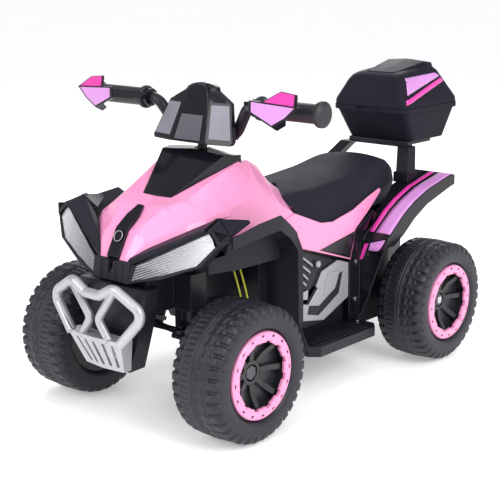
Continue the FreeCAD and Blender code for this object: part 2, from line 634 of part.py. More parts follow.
BUTTON_TRAVEL = 2.5
button = rod(V(0, BUTTON_Y, CONSOLE_TOP - BUTTON_DEEP + BUTTON_TRAVEL + 0.5), V(0, BUTTON_Y, CONSOLE_TOP + 3.5), BUTTON_R)
parts["horn_button"] = button
ROCKER_Z = CONSOLE_TOP - 2.0
rocker_side = [(-8.6, -1.0), (-5.0, -5.0), (5.0, -5.0), (8.6, -1.0), (8.6, 5.5), (0.0, 3.6), (-8.6, 5.5)]
rocker = slab_x([(BUTTON_Y + y, ROCKER_Z + z) for y, z in rocker_side], ROCKER_X - ROCKER_HALF_X, ROCKER_X + ROCKER_HALF_X)
parts["power_rocker"] = rocker
parts["direction_rocker"] = mirror(rocker)

GRIP_FLANGE_R = 17.5
grip = revolve_x([
    (GRIP_IN, BAR_R + BAR_FIT), (GRIP_IN, 15.0), (GRIP_IN + 2, 16.5), (GRIP_IN + 6, 16.5), (GRIP_IN + 8, GRIP_R),
    (GRIP_OUT - 13, GRIP_R), (GRIP_OUT - 11, GRIP_FLANGE_R - 1), (GRIP_OUT - 9, GRIP_FLANGE_R),
    (GRIP_OUT - 4, GRIP_FLANGE_R), (GRIP_OUT, 12.0), (GRIP_OUT, 0), (GRIP_OUT - 8.5, 0), (GRIP_OUT - 8.5, BAR_R + BAR_FIT),
])
grip.translate(V(0, GRIP_Y, GRIP_Z))
parts["grip_left"] = grip
parts["grip_right"] = mirror(grip)

# Handguards: lower face, upper face leaning back, keel, arm to a ring round the bar.
GUARD_RING_X = 98.5
GUARD_RING_R = 13.0
GUARD_THICK = 4.0
GUARD_Y = -188.0
GUARD_SWEEP = 0.064
GUARD_IN_X = 130.0
TOP_RISE = 0.856
TOP_FALL = 0.103


def guard_point(x, z):
    return V(x, GUARD_Y + GUARD_SWEEP * (x - GUARD_IN_X), z)


def guard_top_point(x, y):
    return V(x, y, 446.0 - TOP_FALL * (x - 150.0) + TOP_RISE * (y + 186.5))


low_face = [(GUARD_IN_X, 447), (208, 443), (190, 427), (167, 414), (129, 431)]
guard_low = prism([guard_point(x, z) for x, z in low_face], V(0, GUARD_THICK, 0))
guard_keel = loft([
    [guard_point(190, 427), guard_point(167, 414), guard_point(150, 422)],
    [V(180, -172, 416), V(166, -173, 408), V(156, -173, 414)],
])
top_face = [(150, -187.5), (206, -184), (194, -168.5), (168, -168.5)]
guard_top = prism([guard_top_point(x, y) for x, y in top_face], V(0, GUARD_THICK - 1, -1.0))
guard_ring = tube_x(GRIP_Y, GRIP_Z, GUARD_RING_X, GRIP_IN - 0.5, GUARD_RING_R)
guard_arm = loft([
    [V(x, y, z) for x, z in ((in_x, high), (in_x, low), (out_x, low), (out_x, high))]
    for y, in_x, out_x, low, high in ((-143, 98.5, 105, 426, 436), (-162, 99, 107, 430, 441), (-186, 130, 146, 432, 445))
])
guard = cut(fuse([guard_low, guard_keel, guard_top, guard_ring, guard_arm]),
            [tube_x(GRIP_Y, GRIP_Z, GUARD_RING_X - 5, GRIP_IN, BAR_R + BAR_FIT),
             tube_x(GRIP_Y, GRIP_Z, GRIP_IN - 0.4, GRIP_OUT + 5, GRIP_FLANGE_R + 1.5)])
parts["handguard_left"] = guard
parts["handguard_right"] = mirror(guard)

# Dash screen: faceted shield, hollow behind, with the panel let into its face.
screen_rows = [
    (377.0, [(34, -168), (72, -161), (72, -152), (34, -152)]),
    (382.0, [(33.2, -166), (75.5, -158.5), (75.5, -150.5), (33.2, -150.5)]),
    (432.0, [(25, -148), (58, -141), (58, -134), (25, -134)]),
]
DOME_HALF = 30.0
DOME_Z = 447.0
DOME_RISE = 11.0
DOME_TURNS = (0, 25, 48, 68, 84)
plaque_rows = [(379.0, 32.0), (432.0, 24.0)]
for turn in DOME_TURNS:
    half = DOME_HALF * math.cos(math.radians(turn))
    rise = DOME_RISE * math.sin(math.radians(turn))
    front = -141.0 + 4.0 * rise / DOME_RISE
    back = front + 11
    screen_rows.append((DOME_Z + rise, [(half * 0.6, front), (half, front + 3), (half, back), (half * 0.6, back)]))
    plaque_rows.append((DOME_Z + rise * 0.8, half * 0.58))
screen = loft_z([(z, row + [(-x, y) for x, y in reversed(row)]) for z, row in screen_rows])
screen_room = loft_z([(z - 2.5, [(x - WALL, y + WALL + (30 if k > 1 else 0)) for k, (x, y) in enumerate(row)]
                       + [(-(x - WALL), y + WALL + (30 if k > 1 else 0)) for k, (x, y) in reversed(list(enumerate(row)))])
                      for z, row in screen_rows])
screen = cut(screen, [screen_room, slab_x([(-190, 360), (-100, 360), (-100, 376), (-165, 376), (-190, 376)], -90, 90)])
stay = slab_x([(-165.2, 380), (-159.8, 395), (-144.2, 395), (-144.2, 380)], -14, 14)
PLAQUE_RISE = 2.5
SCREEN_FOOT_Y = -168.0
SCREEN_LEAN = 20.0 / 55.0


def screen_face(z):
    return SCREEN_FOOT_Y + (z - 377.0) * SCREEN_LEAN - PLAQUE_RISE


plaque = loft_z([(z, half_outline([(half, screen_face(z)), (half, screen_face(z) + PLAQUE_RISE + 1.5)]))
                 for z, half in plaque_rows])
screen = fuse([screen, stay, plaque])
PANEL_HALF = 24.0
PANEL_DEEP = 2.0
panel_low_z = 381.0
panel_high_z = 415.0
panel_points = [V(-PANEL_HALF, screen_face(panel_low_z), panel_low_z), V(PANEL_HALF, screen_face(panel_low_z), panel_low_z),
                V(PANEL_HALF - 4, screen_face(panel_high_z), panel_high_z),
                V(-PANEL_HALF + 4, screen_face(panel_high_z), panel_high_z)]
panel = prism([p + V(0, -1.0, 0) for p in panel_points], V(0, 1.0 + PANEL_DEEP - SEAT_FIT, 0))
panel_cut = [V(p.x * 1.012, p.y - 5, p.z + (0.3 if p.z > 400 else -0.3)) for p in panel_points]
parts["dash_screen"] = cut(screen, [prism(panel_cut, V(0, 5 + PANEL_DEEP, 0))])
parts["dash_panel"] = panel

# Seat: crowned top, drawn-in crease and flared flanks over the side panels.
seat_stations = [
    (-46.0, 292.0, 52.0, 66.0, SIDE_X - 10, 262.0),
    (0.0, 293.0, 58.0, 72.0, SIDE_X - 7, 250.0),
    (60.0, 295.0, 62.0, 76.0, SIDE_X - 6, 247.5),
    (120.0, 300.0, 62.0, 76.0, SIDE_X - 8, 259.0),
    (180.0, 309.0, 60.0, 72.0, SIDE_X - 20, 270.0),
    (232.0, 315.0, 54.0, 64.0, SIDE_X - 32, 274.0),
    (256.0, 306.0, 46.0, 56.0, SIDE_X - 40, 276.0),
]
SEAT_CROWN = 6.0
SEAT_BASE = 240.0
FLANK_TUCK = 3.0


def seat_section(y, crown_z, edge_x, crease_x, flank_x, flank_z):
    edge_z = crown_z - SEAT_CROWN
    crease_z = crown_z - 15.0
    top = Part.Arc(V(-edge_x, y, edge_z), V(0, y, crown_z), V(edge_x, y, edge_z)).toShape()
    right = [V(edge_x, y, edge_z), V(crease_x, y, crease_z), V(flank_x, y, flank_z - FLANK_TUCK),
             V(flank_x - 8, y, SEAT_BASE)]
    lines = [Part.makeLine(a, b) for a, b in zip(right, right[1:])]
    left = [V(-p.x, p.y, p.z) for p in reversed(right)]
    lines.append(Part.makeLine(right[-1], left[0]))
    lines += [Part.makeLine(a, b) for a, b in zip(left, left[1:])]
    return Part.Wire([top] + lines)


seat = Part.makeLoft([seat_section(*row) for row in seat_stations], True, False)
ahead_of_tongue = [(0, 24.0 + PANEL_FIT), (70.0, -45.0 + PANEL_FIT), (SIDE_X + 10, -54.0 + PANEL_FIT)]
seat_front = ahead_of_tongue + [(SIDE_X + 10, -120), (-SIDE_X - 10, -120)]
seat_front += [(-x, y) for x, y in reversed(ahead_of_tongue[1:])]
seat_room = block(-50, 50, 20, 246, 200, 248.2)
tub_clear = block(-TUB_HALF - 1, TUB_HALF + 1, -80, TUB_REAR + 1, 200, TUB_TOP + 0.3)
seat = cut(seat, [slab_z(seat_front, 200, 400), seat_room, tub_clear])
parts["seat"] = cut(seat, both(slab_x(panel_side, 60, 120).common(slab_z([(SIDE_X + 2, -140), (SIDE_X + 2, 92), (HORN_X + 2, 186),
                                (HORN_X - WALL - 0.4, 186), (SIDE_X - WALL - 0.4, 92), (SIDE_X - WALL - 0.4, -140)], 150, 330))))

# Rear fenders: swept top, outer skirt, front panel and inner strip down to the footrest.
rear_line = [
    (118.0, 192.0, 13.5), (128.0, 208.0, 13.5), (146.0, 222.0, 13.5), (172.0, 241.0, 13.5), (200.0, 256.0, 16.0),
    (236.0, 270.0, 29.0), (306.0, 285.5, 34.0), (316.0, 283.0, 34.0),
]
skirt_depth = [8.0, 14.0, 28.0, 33.0, 28.0, 24.0, 20.0, 16.0]
deck_rows = []
for (y, z, root_in), deep in zip(rear_line, skirt_depth):
    root_x = SIDE_X - root_in
    deck_rows.append((y, [(root_x, z), (REAR_RIM_X, z), (REAR_RIM_X, z - deep), (REAR_RIM_X - WALL, z - deep),
                          (REAR_RIM_X - WALL, z - WALL - 1.5), (root_x, z - WALL - 1.5)]))
deck = loft_y(deck_rows)
foot_line = FOOT_TOP + SEAT_FIT
panel_outline = [(TUB_HALF + SEAT_FIT, foot_line), (SIDE_X - 4, foot_line), (SIDE_X + 11, 112),
                 (REAR_RIM_X, 206), (REAR_RIM_X, 211), (SIDE_X + 18, 203), (TUB_HALF + SEAT_FIT, 196)]
PANEL_SWEEP = 0.25
PANEL_ROOT_Y = 112.0
front_panel = prism([V(x, PANEL_ROOT_Y + PANEL_SWEEP * (x - TUB_HALF), z) for x, z in panel_outline], V(0, WALL, 0))
strip_panel = slab_x([(89, foot_line), (116, foot_line), (119, 196), (160, 236), (150, 244), (101, 220.5), (89, 176)],
                     SIDE_X - 4 * WALL, SIDE_X - WALL - PANEL_FIT)
rear_fender = fuse([deck, front_panel, strip_panel])
parts["rear_fender_left"] = rear_fender
parts["rear_fender_right"] = mirror(rear_fender)

# Engine-look covers: backing plate, cooling fins, hexagonal casing with its raised frame.
COVER_X = TUB_HALF + SEAT_FIT
COVER_FACE = COVER_X + 7.8
CASE_FACE = COVER_FACE + 5.0
PLATEAU_FACE = CASE_FACE + 2.0
FIN_FACE = COVER_FACE + 4.0
CHANNEL_DEEP = 3.5
cover_outline = [(-82, 228), (-43, 214.5), (85, 173.5), (87, 118), (22, 88), (-60, 90), (-82, 124)]
case_outline = [(58, 181), (85, 172.5), (86, 118), (24, 94), (-30.5, 104), (-34, 131), (-12, 126), (9, 147),
                (4.5, 150), (19, 171)]
channel_outline = [(72, 162), (63, 128), (13, 104), (-16, 111.5), (-12, 124), (12, 119), (51.5, 138), (63, 159.5)]
plateau_outline = [(31.5, 167.5), (60.5, 164.5), (51, 142.5), (21, 132)]
tab_outline = [(-36, 146), (-13, 149), (-14, 134), (-36, 137)]
fin_lines = [((-33, 204.5), (-3, 184)), ((-35.5, 194), (-8.5, 174.5)), ((-36, 183), (-13.5, 165)),
             ((-35.5, 171), (-17, 156))]
FIN_HALF = 2.2
cover = [slab_x(cover_outline, COVER_X, COVER_FACE), slab_x(case_outline, COVER_FACE - 1, CASE_FACE),
         slab_x(tab_outline, COVER_FACE - 1, FIN_FACE)]
for (front_y, front_z), (rear_y, rear_z) in fin_lines:
    cover.append(slab_x([(front_y, front_z - FIN_HALF), (rear_y, rear_z - FIN_HALF), (rear_y, rear_z + FIN_HALF),
                         (front_y, front_z + FIN_HALF)], COVER_FACE - 1, FIN_FACE))
plug = V(COVER_FACE - 1, 9, 184)
PLUG_R = 5.0
cover.append(rod(plug, plug + V(FIN_FACE - COVER_FACE + 3, 0, 0), PLUG_R))
cover = cut(fuse(cover), [slab_x(channel_outline, CASE_FACE - CHANNEL_DEEP, PLATEAU_FACE + 1)])
cover = fuse([cover, slab_x(plateau_outline, CASE_FACE - 1, PLATEAU_FACE)])
parts["engine_cover_left"] = cover
parts["engine_cover_right"] = mirror(cover)

# Footrests: ribbed tray; the right one carries the accelerator pedal.
FOOT_FRONT = -50.0
FOOT_REAR = 112.0
foot_plan = [(TUB_HALF + SEAT_FIT, FOOT_FRONT), (FOOT_OUT - 14, FOOT_FRONT), (FOOT_OUT, FOOT_FRONT + 12),
             (FOOT_OUT, FOOT_REAR - 14), (FOOT_OUT - 12, FOOT_REAR), (TUB_HALF + SEAT_FIT, FOOT_REAR)]
foot = slab_z(foot_plan, FOOT_TOP - FOOT_THICK, FOOT_TOP)
foot_under = [(TUB_HALF + 5, FOOT_FRONT + 4), (FOOT_OUT - 16, FOOT_FRONT + 4), (FOOT_OUT - 3.5, FOOT_FRONT + 14),
              (FOOT_OUT - 3.5, FOOT_REAR - 16), (FOOT_OUT - 16, FOOT_REAR - 4), (TUB_HALF + 5, FOOT_REAR - 4)]
foot = cut(foot, [slab_z(foot_under, FOOT_TOP - FOOT_THICK - 1, FOOT_TOP - 5)])
treads = [block(TUB_HALF + 16, FOOT_OUT - 5, y, y + 4, FOOT_TOP - 1, FOOT_TOP + 2) for y in range(-40, 88, 11)]
foot_left = fuse([foot] + treads)
PEDAL_IN = TUB_HALF + 14
PEDAL_WIDE = 30.0
PEDAL_PIVOT_Y = 62.0
PEDAL_PIVOT_Z = FOOT_TOP + 6.0
PEDAL_PIN_R = 2.5
pedal_ears = [block(-PEDAL_IN - PEDAL_WIDE - 5, -PEDAL_IN - PEDAL_WIDE - 0.5, PEDAL_PIVOT_Y - 5, PEDAL_PIVOT_Y + 5, FOOT_TOP - 1,
                    PEDAL_PIVOT_Z + 5),
              block(-PEDAL_IN + 0.5, -PEDAL_IN + 5, PEDAL_PIVOT_Y - 5, PEDAL_PIVOT_Y + 5, FOOT_TOP - 1, PEDAL_PIVOT_Z + 5)]
pin_hole = tube_x(PEDAL_PIVOT_Y, PEDAL_PIVOT_Z, -PEDAL_IN - 40, -PEDAL_IN + 10, PEDAL_PIN_R + RUN_FIT)
rear_treads = [mirror(t) for t in treads[-2:]] + [mirror(t) for t in treads[:1]]
foot_right = cut(fuse([mirror(foot)] + rear_treads + pedal_ears), [pin_hole])
parts["footrest_left"] = foot_left
parts["footrest_right"] = foot_right
pedal_side = [(PEDAL_PIVOT_Y + 4, PEDAL_PIVOT_Z - 2.5), (PEDAL_PIVOT_Y + 4, PEDAL_PIVOT_Z + 3), (-24, FOOT_TOP + 21),
              (-27, FOOT_TOP + 17), (-24, FOOT_TOP + 15)]
pedal = fuse([slab_x(pedal_side, -PEDAL_IN - PEDAL_WIDE, -PEDAL_IN),
              tube_x(PEDAL_PIVOT_Y, PEDAL_PIVOT_Z, -PEDAL_IN - PEDAL_WIDE - 4.8, -PEDAL_IN + 4.8, PEDAL_PIN_R)])
parts["accelerator_pedal"] = pedal

# Top box on its splayed bracket, lid hinged at the rear.
leg = loft([
    [V(SIDE_X - 32, 250, 287), V(SIDE_X - 8, 250, 287), V(SIDE_X - 8, 272, 287), V(SIDE_X - 32, 272, 287)],
    [V(47, 284, 324), V(69, 284, 324), V(69, 306, 324), V(47, 306, 324)],
])
leg_foot = block(SIDE_X - 34, SIDE_X - 6, 246, 274, 268, 289)
TRAY_LOW = 321.0
tray_plan = [(60, 296), (60, 310), (44, 316), (44, 390)]
tray = slab_z(tray_plan + [(-x, y) for x, y in reversed(tray_plan)], TRAY_LOW, BOX_FLOOR_Z - SEAT_FIT)
tray = cut(tray, [slab_z([(34, 316), (34, 380), (-34, 380), (-34, 316)], TRAY_LOW - 1, BOX_FLOOR_Z)])
bracket = fuse([tray] + both(leg) + both(leg_foot))
deck_clear = loft_y([(y, [(40, z + SEAT_FIT), (REAR_RIM_X, z + SEAT_FIT), (REAR_RIM_X, z - 40), (40, z - 40)])
                     for y, z, root in rear_line[4:]])
parts["box_bracket"] = cut(bracket, both(deck_clear))


def box_wire(z, half, front, rear, corner, tilt=0.0):
    """Rectangle with round corners; tilt raises its rear."""
    middle = (BOX_RIM_FRONT + BOX_RIM_REAR) / 2

    def point(x, y):
        return V(x, y, z + tilt * (y - middle))

    edges = []
    arc_mid = corner * (1 - math.sqrt(0.5))
    spots = [(1, front, 1), (1, rear, -1), (-1, rear, -1), (-1, front, 1)]
    for k, (side, y, inward) in enumerate(spots):
        flank = point(side * half, y + inward * corner)
        end = point(side * (half - corner), y)
        bulge = point(side * (half - arc_mid), y + inward * arc_mid)
        start, stop = (end, flank) if k % 2 == 0 else (flank, end)
        edges.append(Part.Arc(start, bulge, stop).toShape())
        after_side, after_y, after_in = spots[(k + 1) % 4]
        after = point(after_side * half, after_y + after_in * corner)
        if k % 2:
            after = point(after_side * (half - corner), after_y)
        edges.append(Part.makeLine(stop, after))
    return Part.Wire(edges)


def box_loft(rows):
    return Part.makeLoft([box_wire(*row) for row in rows], True, True)


BOX_CORNER = 12.0
LID_CORNER = 18.0
box = box_loft([
    (BOX_FLOOR_Z, BOX_FLOOR_HALF, BOX_FLOOR_FRONT, BOX_FLOOR_REAR, BOX_CORNER),
    (BOX_RIM_Z - 7, BOX_RIM_HALF - 4, BOX_RIM_FRONT + 4, BOX_RIM_REAR - 4, BOX_CORNER + 3),
])
box_lip = Part.Face(box_wire(BOX_RIM_Z - 8, BOX_RIM_HALF, BOX_RIM_FRONT, BOX_RIM_REAR, LID_CORNER)).extrude(V(0, 0, 8))
box_room = box_loft([
    (BOX_FLOOR_Z + BOX_WALL, BOX_FLOOR_HALF - BOX_WALL, BOX_FLOOR_FRONT + BOX_WALL, BOX_FLOOR_REAR - BOX_WALL,
     BOX_CORNER - BOX_WALL),
    (BOX_RIM_Z + 1, BOX_RIM_HALF - 4 - BOX_WALL, BOX_RIM_FRONT + 4 + BOX_WALL, BOX_RIM_REAR - 4 - BOX_WALL,
     BOX_CORNER + 3 - BOX_WALL),
])
HINGE_HALF = 20.0
HINGE_OUT = 34.0
HINGE_Z = BOX_RIM_Z + SEAT_FIT / 2
box_lugs = [fuse([tube_x(HINGE_Y, HINGE_Z, HINGE_HALF + 0.3, HINGE_OUT, HINGE_BARREL_R),
                  block(HINGE_HALF + 0.3, HINGE_OUT, BOX_RIM_REAR - 3, HINGE_Y, HINGE_Z - HINGE_BARREL_R, HINGE_Z - 0.8)])]
NOTCH_R = 22.0
notch = Part.makeCylinder(NOTCH_R, 12, V(0, BOX_RIM_FRONT - 2, BOX_RIM_Z), V(0, 1, 0))
notch = notch.common(block(-NOTCH_R, NOTCH_R, 200, BOX_RIM_FRONT + 5, BOX_RIM_Z - 9, BOX_RIM_Z + 1))
box = fuse([box, box_lip] + both(box_lugs[0]))
hinge_bore = tube_x(HINGE_Y, HINGE_Z, -60, 60, HINGE_PIN_R + RUN_FIT)
parts["trunk_box"] = cut(box, [box_room, hinge_bore, notch])
lid_rows = [
    (BOX_RIM_Z + SEAT_FIT, BOX_RIM_HALF - 0.5, BOX_RIM_FRONT + 0.5, BOX_RIM_REAR - 0.5, LID_CORNER, 0.0),
    (BOX_RIM_Z + 9, BOX_RIM_HALF - 1.5, BOX_RIM_FRONT + 1.0, BOX_RIM_REAR - 1.5, LID_CORNER, 0.0),
    (432.0, 58.0, 278.5, 402.0, LID_CORNER - 2, 0.05),
    (440.0, 53.0, 284.0, 397.0, LID_CORNER - 3, 0.07),
    (445.0, 46.0, 291.0, 392.0, LID_CORNER - 5, 0.09),
    (447.5, 38.0, 300.0, 386.0, LID_CORNER - 8, 0.10),
]
lid = box_loft(lid_rows)
lid_room = box_loft([
    (z - (BOX_WALL if z > BOX_RIM_Z + 20 else 1), half - BOX_WALL, front + BOX_WALL, rear - BOX_WALL,
     corner - BOX_WALL, tilt)
    for z, half, front, rear, corner, tilt in lid_rows
])
crest = loft_y([
    (298.0, half_outline([(0, 443.0), (27, 442.6), (30, 437), (0, 437)])),
    (335.0, half_outline([(0, 451.5), (33, 449.5), (39, 441), (0, 441)])),
    (374.0, half_outline([(0, 460), (37, 457), (44, 444), (0, 444)])),
    (397.0, half_outline([(0, 457), (36, 454), (42, 438), (0, 438)])),
])
lid_knuckle = fuse([tube_x(HINGE_Y, HINGE_Z, -HINGE_HALF, HINGE_HALF, HINGE_BARREL_R),
                    block(-HINGE_HALF, HINGE_HALF, BOX_RIM_REAR - 6, HINGE_Y, HINGE_Z + 0.6, HINGE_Z + HINGE_BARREL_R)])
lid = fuse([lid, crest, lid_knuckle])
parts["trunk_lid"] = cut(lid, [lid_room, hinge_bore])
parts["trunk_hinge_pin"] = tube_x(HINGE_Y, HINGE_Z, -HINGE_OUT, HINGE_OUT, HINGE_PIN_R)

# Drive pieces inside the tub.
pan_top = TUB_FLOOR + WALL + SEAT_FIT
battery = fuse([block(-48, 48, -70, 0, pan_top, pan_top + 92), block(30, 38, -40, -34, pan_top + 90, pan_top + 98),
                block(-38, -30, -40, -34, pan_top + 90, pan_top + 98)])
parts["battery"] = battery
GEAR_IN = 30.0
GEAR_OUT = 62.0
gear_side = [(-90.5, pan_top), (21.5, pan_top), (21.5, 112), (5.5, 122), (-70.5, 138), (-90.5, 130)]
gearbox = fuse([slab_x([(REAR_Y + y, z) for y, z in gear_side], GEAR_IN, GEAR_OUT)])
parts["gearbox"] = cut(gearbox, [tube_x(REAR_Y, AXLE_Z, 0, 90, AXLE_R + 0.3)])
MOTOR_R = 18.0
MOTOR_Y = REAR_Y - 66.5
MOTOR_Z = 108.0
motor = fuse([tube_x(MOTOR_Y, MOTOR_Z, GEAR_IN - SEAT_FIT - 58, GEAR_IN - SEAT_FIT, MOTOR_R),
              tube_x(MOTOR_Y, MOTOR_Z, GEAR_IN - SEAT_FIT - 64, GEAR_IN - SEAT_FIT - 57, 8)])
parts["motor"] = motor

# Lamp leads in the left wheel arch, from the lamp housing back to the tub.
LEAD_R = 1.3
LEAD_BEND = 8.0
leads = []
for x, back in ((78.0, 0.0), (82.0, 9.0)):
    run = [V(x, -252, 252), V(x, -175 + back, 246), V(x, -142 + back, 160), V(x - 4, -132 + back, 120),
           V(x - 4, TUB_FRONT - SEAT_FIT, 120)]
    leads.append(pipe(run, LEAD_R, LEAD_BEND))
parts["lamp_leads"] = Part.makeCompound(leads)

# Screws: footrest corners and rear fender panels.
SCREW_R = 3.6
screws = []
for x, y in ((SIDE_X + 4, 101.0), (TUB_HALF + 8, -40.0)):
    screws.append(rod(V(x, y, FOOT_TOP + 0.1), V(x, y, FOOT_TOP + 2.2), SCREW_R))
for z in (110.0, 170.0):
    face_x = SIDE_X - WALL - PANEL_FIT + 0.1
    screws.append(rod(V(face_x, 104, z), V(face_x + 1.8, 104, z), SCREW_R))
all_screws = []
for screw in screws:
    all_screws += both(screw)
parts["screws"] = Part.makeCompound(all_screws)

os.makedirs("parts", exist_ok=True)
for part_name, shape in parts.items():
    shape.translate(V(0, -ORIGIN_Y, 0))
    shape.exportStep("parts/" + part_name + ".step")
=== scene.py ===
import json
import math

import bmesh
import bpy
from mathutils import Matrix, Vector
from mathutils.bvhtree import BVHTree


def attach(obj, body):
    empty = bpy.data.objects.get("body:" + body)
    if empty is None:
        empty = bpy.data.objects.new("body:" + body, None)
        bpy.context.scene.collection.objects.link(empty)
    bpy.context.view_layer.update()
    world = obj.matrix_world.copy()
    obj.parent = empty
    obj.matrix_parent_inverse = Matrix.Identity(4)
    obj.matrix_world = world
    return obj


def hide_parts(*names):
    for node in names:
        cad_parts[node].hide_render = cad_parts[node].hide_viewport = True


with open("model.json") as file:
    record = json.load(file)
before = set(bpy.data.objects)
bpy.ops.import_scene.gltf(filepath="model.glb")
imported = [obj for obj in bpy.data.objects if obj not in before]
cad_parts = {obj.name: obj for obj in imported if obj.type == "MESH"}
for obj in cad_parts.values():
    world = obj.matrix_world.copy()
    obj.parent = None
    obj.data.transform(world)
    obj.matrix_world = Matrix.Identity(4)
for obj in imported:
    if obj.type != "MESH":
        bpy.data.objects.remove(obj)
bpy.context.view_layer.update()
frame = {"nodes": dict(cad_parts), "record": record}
nodes = frame["nodes"]
slot_of = {part["node"]: part["material_slot"] for part in frame["record"]["subparts"]}
scene = bpy.context.scene

MM = 0.001
SIDES = {"left": 1, "right": -1}
SHIFT = 41.5  # vehicle y less frame y


def at(x, y, z):
    """Point given in millimetres."""
    return Vector((x * MM, y * MM, z * MM))


def facing(place, target):
    """Turn of a camera or light at this place that looks at the target."""
    return (Vector(target) - Vector(place)).to_track_quat("-Z", "Y").to_euler()


# Camera at the photograph's viewing angle.
CAMERA_PLACE = (1.1489, -1.4086, 0.6249)
CAMERA_AIM = (0.0, -0.0757, 0.1984)
CAMERA_LENS = 86.46
SENSOR_WIDTH = 36.0
CLIP_START = 0.05
camera = bpy.data.objects.new("camera", bpy.data.cameras.new("camera"))
scene.collection.objects.link(camera)
camera.location = CAMERA_PLACE
camera.rotation_euler = facing(CAMERA_PLACE, CAMERA_AIM)
camera.data.lens = CAMERA_LENS
camera.data.sensor_width = SENSOR_WIDTH
camera.data.clip_start = CLIP_START
scene.camera = camera


# Procedural materials.
class Shade:
    """Node tree with one Principled shader and short calls to add and join nodes."""

    def __init__(self, name):
        self.material = bpy.data.materials.new(name)
        self.material.use_nodes = True
        self.tree = self.material.node_tree
        self.shader = self.tree.nodes["Principled BSDF"]
        self.place = self.tree.nodes.new("ShaderNodeTexCoord").outputs["Object"]

    def add(self, kind, inputs=None, **settings):
        node = self.tree.nodes.new("ShaderNode" + kind)
        for key, value in settings.items():
            setattr(node, key, value)
        for key, value in (inputs or {}).items():
            self.put(node.inputs[key], value)
        return node

    def put(self, socket, value):
        if isinstance(value, bpy.types.NodeSocket):
            self.tree.links.new(value, socket)
        else:
            socket.default_value = value

    def set(self, **values):
        for key, value in values.items():
            self.put(self.shader.inputs[key.replace("_", " ")], value)

    def noise(self, scale, detail=3.0, rough=0.55):
        inputs = {"Vector": self.place, "Scale": scale, "Detail": detail, "Roughness": rough}
        return self.add("TexNoise", inputs).outputs["Fac"]

    def fit(self, value, low, high, out_low=0.0, out_high=1.0):
        inputs = {"Value": value, "From Min": low, "From Max": high, "To Min": out_low, "To Max": out_high}
        return self.add("MapRange", inputs).outputs["Result"]

    def math(self, operation, a, b=0.0):
        return self.add("Math", {0: a, 1: b}, operation=operation).outputs[0]

    def mix(self, factor, a, b):
        return self.add("Mix", {"Factor": factor, "A": a, "B": b}, data_type="RGBA").outputs["Result"]

    def bump(self, height, strength, distance, under=None):
        node = self.add("Bump", {"Height": height, "Strength": strength, "Distance": distance})
        if under is not None:
            self.put(node.inputs["Normal"], under)
        return node.outputs["Normal"]

    def edges(self, radius):
        """1 on sharp edges, 0 on flat ground."""
        soft = self.add("Bevel", {"Radius": radius}, samples=4).outputs["Normal"]
        hard = self.add("NewGeometry").outputs["True Normal"]
        along = self.add("VectorMath", {0: soft, 1: hard}, operation="DOT_PRODUCT").outputs["Value"]
        return self.fit(along, 0.995, 0.80)


def rgb(colour, factor=1.0):
    return tuple(min(1.0, c * factor) for c in colour) + (1.0,)


CLOUD_SCALE = 7.0
SPECK_SCALE, SPECK_SHARE = 160.0, 0.4
SCUFF_SCALE, SCUFF_SHARE = 42.0, 0.6
# Radius of the lightened edges, which are wear and painted edge highlight.
WORN_AND_HIGHLIT_EDGE = 0.0016
FLOW_SCALE, FLOW_STRENGTH, FLOW_DEPTH = 18.0, 0.05, 0.0006
COAT_ROUGH = 0.06


def moulded(name, colour, rough, grain=700.0, grain_depth=0.00006, grain_strength=0.25, tone=0.10,
            rough_spread=0.08, wear_and_highlight=0.35, worn_and_highlit=None, coat=0.0, metal=0.0, specular=0.5):
    """Moulded plastic or paint: grain, cloudy tone, scuffed roughness, and edges lightened by rubbing wear and by
    a painted edge highlight.
    """
    s = Shade(name)
    cloud = s.noise(CLOUD_SCALE, 4.0)
    speck = s.noise(SPECK_SCALE, 2.0)
    tones = s.mix(s.fit(cloud, 0.35, 0.65), rgb(colour, 1.0 - tone), rgb(colour, 1.0 + tone))
    scuff = s.fit(s.noise(SCUFF_SCALE, 5.0, 0.7), 0.50, 0.68)
    # Edges lightened where the scuff noise allows: rubbing wear, and a painted edge highlight.
    rubbed_and_highlit = s.math("MULTIPLY", s.edges(WORN_AND_HIGHLIT_EDGE), scuff)
    worn_and_highlit = worn_and_highlit or [c * 1.5 + 0.03 for c in colour]
    s.set(Base_Color=s.mix(s.math("MULTIPLY", rubbed_and_highlit, wear_and_highlight), tones, rgb(worn_and_highlit)))
    base_rough = s.fit(cloud, 0.3, 0.7, rough - rough_spread / 2, rough + rough_spread / 2)
    s.set(Roughness=s.math("ADD", base_rough, s.math("MULTIPLY", scuff, rough_spread * SCUFF_SHARE)))
    flow = s.bump(s.noise(FLOW_SCALE, 2.0), FLOW_STRENGTH, FLOW_DEPTH)
    skin = s.math("ADD", s.noise(grain, 2.0), s.math("MULTIPLY", speck, SPECK_SHARE))
    s.set(Normal=s.bump(skin, grain_strength, grain_depth, flow))
    s.set(Metallic=metal, Specular_IOR_Level=specular, Coat_Weight=coat, Coat_Roughness=COAT_ROUGH)
    return s


